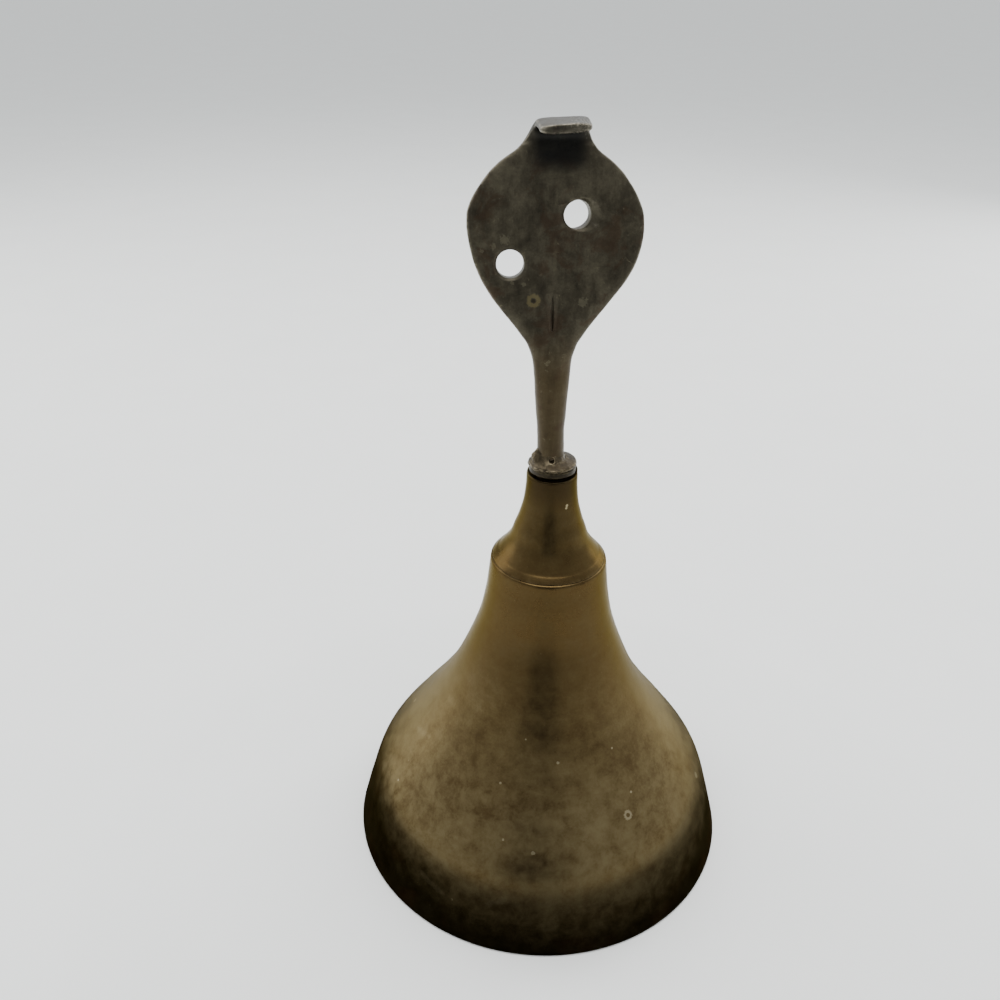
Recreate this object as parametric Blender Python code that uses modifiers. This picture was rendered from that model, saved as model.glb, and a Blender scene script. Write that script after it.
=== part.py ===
"""A small brass puja bell, rung by hand: turned bell, cobra-hood handle and hung clapper.

Metres, +Z up along the bell's axis. The origin is the centre of the mouth, where the bell
stands, and the hood's front faces -Y.
"""
import math

import bmesh
import bpy
from mathutils import Matrix, Vector

MM = 0.001
GAP = 0.3 * MM                      # clearance kept between pieces that bear on each other
TURN_STEPS = 48                     # flats round a large turned piece
SMALL_STEPS = 24                    # flats round a small turned piece

# Bell casting: heights above the mouth and radii, in millimetres
SKIRT = ((64.9, 10.3), (57.0, 11.7), (49.4, 13.6), (38.0, 18.2), (30.4, 22.9),
         (22.8, 28.5), (15.2, 33.6), (7.6, 36.1), (0.4, 38.0))
NECK = ((82.6, 4.6), (80.2, 4.68), (77.0, 5.05), (74.0, 5.8), (72.0, 6.5), (69.4, 7.45), (66.6, 9.2),
        (64.9, 10.3))
HOLLOW = ((0.0, 35.5), (7.6, 33.7), (15.2, 31.0), (22.8, 25.9), (30.4, 20.3), (38.0, 15.7),
          (49.4, 11.2), (57.0, 9.2), (60.8, 7.4), (62.0, 5.0))
RIM_EASE = 0.4                      # mouth's outer corner, eased inwards
CROWN_TOP = 83.0 * MM               # thin raised lip round the crown
CROWN_LIP_INNER = 4.15 * MM
CROWN_FLOOR = 82.5 * MM             # turned recess inside the lip
CROWN_BOSS_RADIUS = 3.0 * MM        # boss that carries the washer
CROWN_BORE = 2.3 * MM
DOME_TOP = 62.0 * MM                # inside top of the hollow, where the inner washer bears

# Stack between crown and handle
WASHER_BOTTOM = CROWN_TOP + GAP
WASHER_THICK = 1.0 * MM
WASHER_RADIUS = 4.2 * MM
WASHER_EASE = 0.2 * MM
FLANGE_BOTTOM = WASHER_BOTTOM + WASHER_THICK + GAP
FLANGE_THICK = 1.1 * MM
FLANGE_RADIUS = 4.3 * MM
FLANGE_TOP_RADIUS = 3.6 * MM        # its top slopes down from here to the edge
FLANGE_EDGE_THICK = 0.5 * MM
SHOULDER_Z = FLANGE_BOTTOM + FLANGE_THICK + GAP
FILLET_HEIGHT = 2.2 * MM
FILLET_FOOT_RADIUS = 3.4 * MM
FILLET_CUT_OFF = 70                 # degrees of the quarter round that the braze fills
FILLET_STEPS = 5

# Cobra handle: half widths, half thicknesses, squareness of section and sideways drift of the
# centre line, in millimetres, by length up from the shoulder
SHANK_RADIUS = 2.36 * MM
TANG_RADIUS = 2.0 * MM
TANG_END = 54.6 * MM
BACK_LEAN = math.radians(8.0)       # hood leans back from the shank
LEAN_START = 17.0 * MM
LEAN_RADIUS = 50.0 * MM
BEND_START = 52.85 * MM
BEND_RADIUS = 3.0 * MM              # neck turns forward on this radius
HEAD_LENGTH = 6.1 * MM
HEAD_CORNER = 1.1 * MM              # head's front corners, rounded in plan
HEAD_EASE = 0.3 * MM                # and its front edges
HEAD_ROLL = math.radians(3.0)       # head stands higher on its +X side
HOOD_WIDTHS = ((0, 2.36), (5, 2.38), (9, 2.66), (18, 3.25), (21, 4.12), (23, 5.45), (29, 10.0),
               (32, 11.95), (35, 13.3), (38, 14.0), (40, 14.2), (42, 14.1), (44, 13.5), (48, 10.95),
               (50, 8.9), (52, 6.25), (53.4, 5.2), (55, 4.5), (57, 4.05), (64, 3.9))
HOOD_THICKNESSES = ((0, 2.25), (10, 2.3), (17.3, 2.1), (24, 1.7), (30, 1.4), (40, 1.25),
                    (50, 1.1), (54, 0.95), (57, 0.8), (64, 0.72))
HOOD_SQUARENESS = ((0, 2.0), (17.3, 2.1), (28, 2.6), (48, 2.7), (57, 3.2), (64, 3.2))
DRIFT = ((0, -0.48), (10, -0.76), (20, -0.96), (28.5, -1.2), (35, -1.0), (47, -1.18), (52, -0.98),
         (58, -0.68), (64, -0.62))
HOOD_DISH = 0.8 * MM                # edges of the hood come forward of its middle
DISH_FULL_WIDTH = 12.0 * MM
RING_POINTS = 28
RING_SPACING = 1.5 * MM
HOLE_RADIUS = 2.28 * MM
HOOD_HOLES = ((2.2 * MM, 127.9 * MM, 14.0), (-8.25 * MM, 120.2 * MM, 0.0))   # x, z, tilt in degrees
DRILL_LENGTH = 16.0 * MM
GROOVE_CENTRE_Z = 112.6 * MM
GROOVE_SIZE = (0.25 * MM, 0.5 * MM, 4.2 * MM)

# Fastening inside the bell
INNER_WASHER_RADIUS = 4.6 * MM
INNER_WASHER_THICK = 1.0 * MM
INNER_WASHER_EASE = 0.15 * MM
NUT_ACROSS_FLATS = 7.0 * MM
NUT_HEIGHT = 3.2 * MM
NUT_CHAMFER = 0.35 * MM
EYE_BODY_RADIUS = 3.4 * MM
EYE_BODY_HEIGHT = 3.5 * MM
EYE_BODY_EASE = 0.4 * MM
EYE_BODY_TAPER = 0.8 * MM           # height of the taper down to the foot
EYE_FOOT_RADIUS = 1.6 * MM
EYE_FOOT_DEPTH = 0.4 * MM           # how far the foot reaches into the ring
EYE_RING_RADIUS = 2.8 * MM
EYE_WIRE = 0.9 * MM

# Link and clapper
LINK_RADIUS = 3.3 * MM
LINK_WIRE = 0.7 * MM
ROD_WIRE = 1.0 * MM
ROD_EYE_RADIUS = 2.7 * MM
ROD_EYE_OPEN = math.radians(28)     # gap left where the bent eye comes back to the rod
BALL_RADIUS = 6.0 * MM
BALL_CENTRE_Z = 11.5 * MM
BALL_BORE = ROD_WIRE + GAP
PEEN_RADIUS = 1.9 * MM
PEEN_HEIGHT = 1.1 * MM              # PEEN_SECTION reaches this far down
ROD_EYE_POINTS = 26
ROD_NECK = 1.2 * MM                 # first bend below the eye, back towards the axis
ROD_NECK_SHARE = 0.35               # how far off the axis the rod still is there
ROD_STRAIGHT = 1.8 * MM             # further down it is on the axis
PEEN_SECTION = ((0.05, 0.9), (0.33, 1.0), (0.77, 0.9), (1.1, 0.6))      # mm down, share of radius

HANDLE_LENGTH = BEND_START + BEND_RADIUS * (BACK_LEAN + math.pi / 2) + HEAD_LENGTH
WASHER_TOP_INSIDE = DOME_TOP - GAP
NUT_TOP = WASHER_TOP_INSIDE - INNER_WASHER_THICK - GAP
EYE_TOP = NUT_TOP - NUT_HEIGHT - GAP
EYE_RING_Z = EYE_TOP - EYE_BODY_HEIGHT - EYE_RING_RADIUS
LINK_PIVOT_Z = EYE_RING_Z - EYE_RING_RADIUS
LINK_Z = LINK_PIVOT_Z + EYE_WIRE + GAP + LINK_WIRE - LINK_RADIUS
CLAPPER_PIVOT_Z = LINK_Z - LINK_RADIUS
ROD_EYE_Z = CLAPPER_PIVOT_Z + LINK_WIRE + GAP + ROD_WIRE - ROD_EYE_RADIUS


def clear_scene():
    for thing in list(bpy.data.objects):
        bpy.data.objects.remove(thing, do_unlink=True)


def new_collection(name):
    collection = bpy.data.collections.new(name)
    bpy.context.scene.collection.children.link(collection)
    return collection


def metal(name, color, roughness):
    material = bpy.data.materials.new(name)
    material.use_nodes = True
    shader = material.node_tree.nodes["Principled BSDF"]
    shader.inputs["Base Color"].default_value = (*color, 1.0)
    shader.inputs["Metallic"].default_value = 1.0
    shader.inputs["Roughness"].default_value = roughness
    return material


def add_object(name, mesh, collection, material=None):
    thing = bpy.data.objects.new(name, mesh)
    collection.objects.link(thing)
    if material is not None:
        mesh.materials.append(material)
    return thing


def rehome(thing, collection):
    """Move an object that an operator has just made into the collection it belongs to."""
    for old in list(thing.users_collection):
        old.objects.unlink(thing)
    collection.objects.link(thing)


def shade(mesh, degrees=35):
    mesh.shade_smooth()
    mesh.set_sharp_from_angle(angle=math.radians(degrees))


def evaluated_mesh(thing):
    bpy.context.view_layer.update()
    depsgraph = bpy.context.evaluated_depsgraph_get()
    return bpy.data.meshes.new_from_object(thing.evaluated_get(depsgraph))


def smooth_line(points, per_span):
    """Points on a smooth curve through the given ones (Catmull-Rom)."""
    given = [Vector(point) for point in points]
    ends = [2 * given[0] - given[1]] + given + [2 * given[-1] - given[-2]]
    line = []
    for span in range(len(given) - 1):
        before, start, end, after = ends[span:span + 4]
        for step in range(per_span):
            t = step / per_span
            line.append(0.5 * (2 * start + (end - before) * t
                               + (2 * before - 5 * start + 4 * end - after) * t ** 2
                               + (3 * start - before - 3 * end + after) * t ** 3))
    line.append(given[-1])
    return line


def value_at(table, place):
    """Value at a place along a table of (place, value), on a smooth monotone curve."""
    if place <= table[0][0]:
        return table[0][1]
    for (start, low), (end, high) in zip(table, table[1:]):
        if place <= end:
            break
    else:
        return table[-1][1]
    index = table.index((start, low))
    slope_in = slope_between(table, index - 1, index, index + 1)
    slope_out = slope_between(table, index, index + 1, index + 2)
    width = end - start
    t = (place - start) / width
    return ((2 * t ** 3 - 3 * t ** 2 + 1) * low + (t ** 3 - 2 * t ** 2 + t) * width * slope_in
            + (3 * t ** 2 - 2 * t ** 3) * high + (t ** 3 - t ** 2) * width * slope_out)


def slope_between(table, before, here, after):
    """Slope of a table's curve at one of its entries, flat where it turns round."""
    if before < 0 or after >= len(table):
        return 0.0
    left = (table[here][1] - table[before][1]) / (table[here][0] - table[before][0])
    right = (table[after][1] - table[here][1]) / (table[after][0] - table[here][0])
    if left * right <= 0:
        return 0.0
    return 2 * left * right / (left + right)


def turned(name, profile, collection, material=None, steps=SMALL_STEPS, height=0.0):
    """A ring-shaped solid turned from a closed (radius, z) outline, outer side downwards."""
    mesh = bpy.data.meshes.new(name)
    points = [(radius, 0.0, z) for radius, z in profile]
    edges = [(i, (i + 1) % len(points)) for i in range(len(points))]
    mesh.from_pydata(points, edges, [])
    thing = add_object(name, mesh, collection, material)
    thing.location.z = height
    screw = thing.modifiers.new("turning", 'SCREW')
    screw.axis = 'Z'
    screw.steps = steps
    screw.render_steps = steps
    screw.use_merge_vertices = True
    screw.merge_threshold = 0.00001
    screw.use_smooth_shade = True
    return thing


def plate_ring(outer, inner, thickness, ease):
    """Outline of a flat washer with eased outer corners, standing on z = 0."""
    return ((inner, thickness), (outer - ease, thickness), (outer, thickness - ease),
            (outer, ease), (outer - ease, 0.0), (inner, 0.0))


def cut(thing, cutter, operation='DIFFERENCE'):
    boolean = thing.modifiers.new(cutter.name, 'BOOLEAN')
    boolean.operation = operation
    boolean.solver = 'EXACT'
    boolean.object = cutter


def as_cutter(thing):
    thing.hide_render = True
    thing.display_type = 'WIRE'
    return thing


def bell_profile():
    """Closed outline of the bell casting: neck, skirt, rim, hollow and crown bore."""
    neck = smooth_line(NECK, 2)[:-1]
    skirt = smooth_line(SKIRT, 2)
    hollow = smooth_line(HOLLOW, 1)
    outline = [(CROWN_BORE, CROWN_TOP), (CROWN_BOSS_RADIUS, CROWN_TOP),
               (CROWN_BOSS_RADIUS, CROWN_FLOOR), (CROWN_LIP_INNER, CROWN_FLOOR),
               (CROWN_LIP_INNER, CROWN_TOP), (NECK[0][1] * MM, CROWN_TOP)]
    outline += [(radius * MM, z * MM) for z, radius in neck + skirt]
    outline += [((SKIRT[-1][1] - RIM_EASE) * MM, 0.0)]
    outline += [(radius * MM, z * MM) for z, radius in hollow]
    outline += [(CROWN_BORE, DOME_TOP)]
    return outline


def build_bell(parts):
    brass = metal("bell_brass", (0.42, 0.31, 0.17), 0.38)
    return turned("bell_body", bell_profile(), parts, brass, TURN_STEPS)


def build_collar_stack(parts):
    """Washer, flange and brazed fillet between the crown and the handle's shoulder."""
    dark = metal("washer_brass", (0.24, 0.17, 0.10), 0.55)
    turned("crown_washer", plate_ring(WASHER_RADIUS, TANG_RADIUS + GAP, WASHER_THICK, WASHER_EASE),
           parts, dark, height=WASHER_BOTTOM)
    rough = metal("flange_brass", (0.38, 0.28, 0.17), 0.5)
    outline = ((TANG_RADIUS + GAP, FLANGE_THICK), (FLANGE_TOP_RADIUS, FLANGE_THICK),
               (FLANGE_RADIUS, FLANGE_EDGE_THICK), (FLANGE_RADIUS, 0.0), (TANG_RADIUS + GAP, 0.0))
    turned("foot_flange", outline, parts, rough, height=FLANGE_BOTTOM)
    braze = metal("braze", (0.44, 0.33, 0.19), 0.45)
    bore = SHANK_RADIUS + GAP
    turns = [math.radians(FILLET_CUT_OFF * (1 - step / FILLET_STEPS)) for step in range(FILLET_STEPS)]
    rise = [(bore + (FILLET_FOOT_RADIUS - bore) * (1 - math.sin(turn)),
             FILLET_HEIGHT * (1 - math.cos(turn))) for turn in turns]
    outline = [(bore, rise[0][1])] + rise + [(FILLET_FOOT_RADIUS, 0.0), (bore, 0.0)]
    fillet = turned("braze_fillet", outline, parts, braze, height=SHOULDER_Z)
    fillet.location.x = DRIFT[0][1] * MM


def handle_centre(length):
    """Centre point and upward direction of the handle at a length above the shoulder."""
    lean = min(max((length - LEAN_START) / LEAN_RADIUS, 0.0), BACK_LEAN)
    arc_end = LEAN_START + LEAN_RADIUS * BACK_LEAN
    y = LEAN_RADIUS * (1 - math.cos(lean))
    z = min(length, LEAN_START) + LEAN_RADIUS * math.sin(lean)
    straight = min(max(length - arc_end, 0.0), BEND_START - arc_end)
    y += straight * math.sin(BACK_LEAN)
    z += straight * math.cos(BACK_LEAN)
    direction = lean
    if length > BEND_START:
        full = BACK_LEAN + math.pi / 2
        turn = min((length - BEND_START) / BEND_RADIUS, full)
        direction = BACK_LEAN - turn
        y += BEND_RADIUS * (math.cos(direction) - math.cos(BACK_LEAN))
        z += BEND_RADIUS * (math.sin(BACK_LEAN) - math.sin(direction))
        y -= max(length - BEND_START - BEND_RADIUS * full, 0.0)
    return y, z, direction


def quarter_round(length, end, size):
    """How far an edge is drawn in by a quarter round of a size that finishes at an end."""
    share = min(max((length - end) / size + 1.0, 0.0), 1.0)
    return size * (1.0 - math.sqrt(1.0 - share ** 2))


def handle_ring(length):
    """One cross-section of the handle: a rounded flat section square to its centre line."""
    place = length / MM
    half_width = value_at(HOOD_WIDTHS, place) * MM - quarter_round(length, HANDLE_LENGTH, HEAD_CORNER)
    half_thick = value_at(HOOD_THICKNESSES, place) * MM - quarter_round(length, HANDLE_LENGTH, HEAD_EASE)
    power = 2.0 / value_at(HOOD_SQUARENESS, place)
    y, z, direction = handle_centre(length)
    dish = HOOD_DISH * min(half_width / DISH_FULL_WIDTH, 1.0) ** 2
    if length > BEND_START:
        dish = 0.0
    roll = math.tan(HEAD_ROLL) * min(max((length - BEND_START) / HEAD_LENGTH, 0.0), 1.0)
    ring = []
    for step in range(RING_POINTS):
        angle = math.tau * step / RING_POINTS
        across = math.copysign(abs(math.cos(angle)) ** power, math.cos(angle))
        depth = half_thick * math.copysign(abs(math.sin(angle)) ** power, math.sin(angle))
        depth -= dish * across ** 2
        x = half_width * across
        height = z - depth * math.sin(direction) + x * roll
        ring.append((x + value_at(DRIFT, place) * MM, y + depth * math.cos(direction), SHOULDER_Z + height))
    return ring


def tang_ring(z):
    return [(TANG_RADIUS * math.cos(math.tau * step / RING_POINTS),
             TANG_RADIUS * math.sin(math.tau * step / RING_POINTS), z)
            for step in range(RING_POINTS)]


def loft(name, rings):
    """A closed solid skinned over rings of equal point counts, with flat ends."""
    form = bmesh.new()
    loops = [[form.verts.new(point) for point in ring] for ring in rings]
    count = len(rings[0])
    for low, high in zip(loops, loops[1:]):
        for i in range(count):
            j = (i + 1) % count
            form.faces.new((low[i], low[j], high[j], high[i]))
    form.faces.new(reversed(loops[0]))
    form.faces.new(loops[-1])
    mesh = bpy.data.meshes.new(name)
    form.to_mesh(mesh)
    form.free()
    return mesh


def hole_cutter(index, x, z, tilt, cutters):
    bpy.ops.mesh.primitive_cylinder_add(vertices=SMALL_STEPS, radius=HOLE_RADIUS, depth=DRILL_LENGTH)
    drill = bpy.context.object
    drill.name = f"hood_drill_{index}"
    drill.location = (x, handle_centre(z - SHOULDER_Z)[0], z)
    drill.rotation_euler = (math.radians(90) - BACK_LEAN, 0.0, math.radians(tilt))
    rehome(drill, cutters)
    return as_cutter(drill)


def groove_cutter(cutters):
    """A long slim lens that leaves the incised line where the hood narrows to the shank."""
    bpy.ops.mesh.primitive_uv_sphere_add(segments=16, ring_count=12, radius=1.0)
    lens = bpy.context.object
    lens.name = "hood_graver"
    y = handle_centre(GROOVE_CENTRE_Z - SHOULDER_Z)[0]
    half_thick = value_at(HOOD_THICKNESSES, (GROOVE_CENTRE_Z - SHOULDER_Z) / MM) * MM
    size = Matrix.Diagonal((*GROOVE_SIZE, 1.0))
    lens.data.transform(size)
    x = value_at(DRIFT, (GROOVE_CENTRE_Z - SHOULDER_Z) / MM) * MM
    lens.location = (x, y - half_thick, GROOVE_CENTRE_Z)
    lens.rotation_euler.x = -BACK_LEAN
    rehome(lens, cutters)
    return as_cutter(lens)


def build_handle(parts, cutters):
    """Tang, shank, hood and bent-over head, forged in one piece; two holes and a groove cut in."""
    lengths = []
    length = 0.0
    while length < HANDLE_LENGTH - 1.3 * MM:
        lengths.append(length)
        length += RING_SPACING
    lengths += [HANDLE_LENGTH - back * MM for back in (0.9, 0.45, 0.2, 0.06, 0.0)]
    rings = [tang_ring(TANG_END), tang_ring(SHOULDER_Z)] + [handle_ring(place) for place in lengths]
    mesh = loft("cobra_handle", rings)
    shade(mesh, 50)
    handle = add_object("cobra_handle", mesh, parts, metal("handle_brass", (0.34, 0.26, 0.17), 0.42))
    for index, (x, z, tilt) in enumerate(HOOD_HOLES):
        cut(handle, hole_cutter(index, x, z, tilt, cutters))
    cut(handle, groove_cutter(cutters))


def build_fastening(parts, cutters):
    """Washer, nut and eye nut that hold the tang inside the bell and carry the clapper."""
    bore = TANG_RADIUS + GAP
    grey = metal("washer_steel", (0.30, 0.27, 0.23), 0.5)
    turned("inner_washer", plate_ring(INNER_WASHER_RADIUS, bore, INNER_WASHER_THICK, INNER_WASHER_EASE),
           parts, grey, height=WASHER_TOP_INSIDE - INNER_WASHER_THICK)

    form = bmesh.new()
    bmesh.ops.create_cone(form, cap_ends=True, segments=6, depth=NUT_HEIGHT,
                          radius1=NUT_ACROSS_FLATS / math.sqrt(3),
                          radius2=NUT_ACROSS_FLATS / math.sqrt(3))
    rims = [edge for edge in form.edges if abs(edge.verts[0].co.z - edge.verts[1].co.z) < GAP]
    bmesh.ops.bevel(form, geom=rims, offset=NUT_CHAMFER, segments=1, affect='EDGES')
    mesh = bpy.data.meshes.new("tang_nut")
    form.to_mesh(mesh)
    form.free()
    nut = add_object("tang_nut", mesh, parts, metal("nut_steel", (0.33, 0.29, 0.24), 0.45))
    nut.location.z = NUT_TOP - NUT_HEIGHT / 2
    bpy.ops.mesh.primitive_cylinder_add(vertices=SMALL_STEPS, radius=bore, depth=3 * NUT_HEIGHT)
    tap = bpy.context.object
    tap.name = "nut_tap"
    tap.location.z = nut.location.z
    rehome(tap, cutters)
    cut(nut, as_cutter(tap))

    floor = TANG_END - GAP - EYE_TOP
    foot = -EYE_BODY_HEIGHT - EYE_FOOT_DEPTH
    body = [(bore, 0.0), (EYE_BODY_RADIUS - EYE_BODY_EASE, 0.0), (EYE_BODY_RADIUS, -EYE_BODY_EASE),
            (EYE_BODY_RADIUS, EYE_BODY_TAPER - EYE_BODY_HEIGHT), (EYE_FOOT_RADIUS, foot), (0.0, foot),
            (0.0, floor), (bore, floor)]
    mesh = bpy.data.meshes.new("eye_nut")
    mesh.from_pydata([(radius, 0.0, z) for radius, z in body], [(i, i + 1) for i in range(4)]
                     + [(4, 5), (6, 7), (7, 0)], [])
    eye = add_object("eye_nut", mesh, parts, metal("eye_brass", (0.40, 0.30, 0.17), 0.45))
    eye.location.z = EYE_TOP
    screw = eye.modifiers.new("turning", 'SCREW')
    screw.steps = SMALL_STEPS
    screw.render_steps = SMALL_STEPS
    screw.use_merge_vertices = True
    screw.merge_threshold = 0.00001
    bpy.ops.mesh.primitive_torus_add(major_segments=24, minor_segments=10,
                                     major_radius=EYE_RING_RADIUS, minor_radius=EYE_WIRE)
    ring = bpy.context.object
    ring.name = "eye_ring_form"
    ring.location.z = EYE_RING_Z
    ring.rotation_euler.x = math.radians(90)
    rehome(ring, cutters)
    cut(eye, as_cutter(ring), 'UNION')


def build_link(parts):
    """Closed wire ring that hangs in the eye nut; its pivot is the eye's lower wire."""
    pivot = bpy.data.objects.new("link_pivot", None)
    pivot.location.z = LINK_PIVOT_Z
    parts.objects.link(pivot)
    bpy.ops.mesh.primitive_torus_add(major_segments=28, minor_segments=10,
                                     major_radius=LINK_RADIUS, minor_radius=LINK_WIRE)
    link = bpy.context.object
    link.name = "hanging_link"
    link.parent = pivot
    link.location.z = LINK_Z - LINK_PIVOT_Z
    link.rotation_euler.y = math.radians(90)
    rehome(link, parts)
    link.data.materials.append(metal("link_steel", (0.25, 0.22, 0.19), 0.5))
    shade(link.data)
    return pivot


def build_clapper(parts, link_pivot):
    """Iron rod bent into an eye at the top and peened over below the cast ball."""
    pivot = bpy.data.objects.new("clapper_pivot", None)
    pivot.parent = link_pivot
    pivot.location.z = CLAPPER_PIVOT_Z - LINK_PIVOT_Z
    parts.objects.link(pivot)

    ball_bottom = BALL_CENTRE_Z - math.sqrt(BALL_RADIUS ** 2 - BALL_BORE ** 2)
    points = []
    bend = math.tau - ROD_EYE_OPEN
    start = -math.pi / 2 + ROD_EYE_OPEN
    for step in range(ROD_EYE_POINTS):
        angle = start + bend * step / ROD_EYE_POINTS
        points.append((ROD_EYE_RADIUS * math.cos(angle), ROD_EYE_Z + ROD_EYE_RADIUS * math.sin(angle), 1.0))
    shank_x = points[-1][0]
    neck_z = points[-1][1] - ROD_NECK
    points.append((shank_x * ROD_NECK_SHARE, neck_z, 1.0))
    points.append((0.0, neck_z - ROD_STRAIGHT, 1.0))
    peen_top = ball_bottom - GAP
    flare = PEEN_RADIUS / ROD_WIRE
    points.append((0.0, peen_top, 1.0))
    points += [(0.0, peen_top - drop * MM, flare * share) for drop, share in PEEN_SECTION]
    curve = bpy.data.curves.new("clapper_rod", 'CURVE')
    curve.dimensions = '3D'
    curve.bevel_depth = ROD_WIRE
    curve.bevel_resolution = 3
    curve.use_fill_caps = True
    spline = curve.splines.new('POLY')
    spline.points.add(len(points) - 1)
    for point, (x, z, swell) in zip(spline.points, points):
        point.co = (x, 0.0, z - CLAPPER_PIVOT_Z, 1.0)
        point.radius = swell
    wire = bpy.data.objects.new("clapper_wire", curve)
    parts.objects.link(wire)
    mesh = evaluated_mesh(wire)
    bpy.data.objects.remove(wire)
    form = bmesh.new()
    form.from_mesh(mesh)
    bmesh.ops.remove_doubles(form, verts=form.verts, dist=0.000001)
    bmesh.ops.recalc_face_normals(form, faces=form.faces)
    form.to_mesh(mesh)
    form.free()
    shade(mesh)
    rod = add_object("clapper_rod", mesh, parts, metal("rod_iron", (0.16, 0.13, 0.11), 0.55))
    rod.parent = pivot

    half = math.asin(BALL_BORE / BALL_RADIUS)
    arc = [half + (math.pi - 2 * half) * step / 14 for step in range(15)]
    outline = [(BALL_RADIUS * math.sin(angle), BALL_RADIUS * math.cos(angle)) for angle in arc]
    ball = turned("clapper_ball", outline, parts, metal("ball_brass", (0.42, 0.31, 0.17), 0.42))
    ball.parent = pivot
    ball.location.z = BALL_CENTRE_Z - CLAPPER_PIVOT_Z


def build():
    clear_scene()
    parts = new_collection("puja_bell")
    cutters = new_collection("cutters")
    build_bell(parts)
    build_collar_stack(parts)
    build_handle(parts, cutters)
    build_fastening(parts, cutters)
    build_clapper(parts, build_link(parts))


build()
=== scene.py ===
"""Looks of a small brass puja bell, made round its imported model, in metres with +Z up.

The sections follow the bell as it is put together: the turned casting, the washer, flange and
braze on its crown, the cobra handle, the nuts inside, the link and the clapper.
"""
from math import asin, atan2, ceil, copysign, cos, degrees, hypot, pi, radians, sin, sqrt, tan, tau

import bmesh
import bpy
from mathutils import Matrix, Vector, noise


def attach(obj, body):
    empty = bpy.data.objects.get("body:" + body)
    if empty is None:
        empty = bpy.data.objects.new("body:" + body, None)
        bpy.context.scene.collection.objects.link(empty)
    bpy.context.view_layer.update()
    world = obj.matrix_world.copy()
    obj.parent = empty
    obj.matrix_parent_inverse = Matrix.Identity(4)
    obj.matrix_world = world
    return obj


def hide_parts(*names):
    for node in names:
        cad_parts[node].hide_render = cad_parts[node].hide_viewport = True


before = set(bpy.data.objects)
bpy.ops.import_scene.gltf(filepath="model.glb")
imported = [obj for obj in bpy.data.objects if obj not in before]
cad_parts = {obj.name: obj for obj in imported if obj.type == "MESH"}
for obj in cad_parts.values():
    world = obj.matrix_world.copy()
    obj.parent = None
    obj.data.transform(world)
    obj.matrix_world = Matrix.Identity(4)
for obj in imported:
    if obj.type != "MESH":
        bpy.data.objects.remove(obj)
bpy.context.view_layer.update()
MM = 0.001

# ------------------------------------------------
# Camera: held a hand's length away, above the bell and a little to the hood's left, looking
# down on the crown and slightly past the bell.
CAMERA_AZIMUTH = radians(-6.0)
CAMERA_DISTANCE = 158.3 * MM
CAMERA_HEIGHT = 167.6 * MM
CAMERA_PITCH = radians(29.88)
CAMERA_PAST_BELL = radians(3.36)
CAMERA_ROLL = radians(0.94)
LENS = 36.0

camera = bpy.data.objects.new("camera", bpy.data.cameras.new("camera"))
camera.data.sensor_width = LENS
camera.data.lens = LENS
camera.data.clip_start = 5 * MM
heading = CAMERA_AZIMUTH + CAMERA_PAST_BELL
forward = Vector((-sin(heading) * cos(CAMERA_PITCH),
                  cos(heading) * cos(CAMERA_PITCH), -sin(CAMERA_PITCH)))
level = forward.cross(Vector((0, 0, 1))).normalized()
right = level * cos(CAMERA_ROLL) + level.cross(forward) * sin(CAMERA_ROLL)
place = Vector((CAMERA_DISTANCE * sin(CAMERA_AZIMUTH),
                -CAMERA_DISTANCE * cos(CAMERA_AZIMUTH), CAMERA_HEIGHT))
camera.matrix_world = (Matrix.Translation(place)
                       @ Matrix((right, right.cross(forward), -forward)).transposed().to_4x4())
bpy.context.scene.collection.objects.link(camera)
bpy.context.scene.camera = camera

# ------------------------------------------------
# Bell casting: one piece of yellow brass, cast mouth down and turned all over outside, with an
# arris between neck and skirt. The hollow is left nearly as cast, and the crown is bored for
# the handle's tang. It is browned all over, and painted darker towards the rim as a dark reflection.
NECK = ((82.6, 4.6), (80.2, 4.68), (77.0, 5.05), (74.0, 5.8), (72.0, 6.5), (69.4, 7.45),
        (66.9, 9.15), (66.2, 9.8))
SKIRT = ((64.9, 10.85), (57.0, 11.8), (49.4, 13.6), (38.0, 18.2), (30.4, 22.9), (22.8, 28.5),
         (15.2, 33.6), (7.6, 36.1), (0.5, 38.0))
HOLLOW = ((0.5, 35.4), (7.6, 33.7), (15.2, 31.0), (22.8, 25.9), (30.4, 20.3), (38.0, 15.7),
          (49.4, 11.2), (57.0, 9.2), (60.8, 7.4), (62.0, 5.0))
ARRIS_Z = 65.4
CROWN_TOP = 83.0
CROWN_BORE = 2.3
CAST_STEPS = 192
BURR_HEIGHT = 1.1                   # sliver of the crown's lip turned up on the +X side
BURR_TURN = radians(4)
BURR_WIDTH = radians(24)
BURR_FOOT = 82.6


def operator(operation, swapped=False):
    """An arithmetic operator for Signal: it adds one Math node and returns that node's output."""
    def apply(self, other):
        values = (other, self) if swapped else (self, other)
        return self.sheet.math(operation, *values)
    return apply


class Signal:
    """One output in a node tree that takes part in arithmetic."""

    def __init__(self, sheet, socket):
        self.sheet = sheet
        self.socket = socket

    __add__ = __radd__ = operator("ADD")
    __mul__ = __rmul__ = operator("MULTIPLY")
    __sub__ = operator("SUBTRACT")
    __rsub__ = operator("SUBTRACT", True)
    __truediv__ = operator("DIVIDE")
    __rtruediv__ = operator("DIVIDE", True)
    __mod__ = operator("MODULO")

    def between(self, low, high):
        """0 at or below low, 1 at or above high, easing from one to the other."""
        return self.sheet.node("ShaderNodeMapRange", {"interpolation_type": "SMOOTHSTEP"},
                               {"Value": self, "From Min": low, "From Max": high})

    def near(self, value, reach):
        """1 at a value, falling to 0 at a distance of reach from it."""
        return 1.0 - self.sheet.math("ABSOLUTE", self - value).between(0.0, reach)


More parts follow.
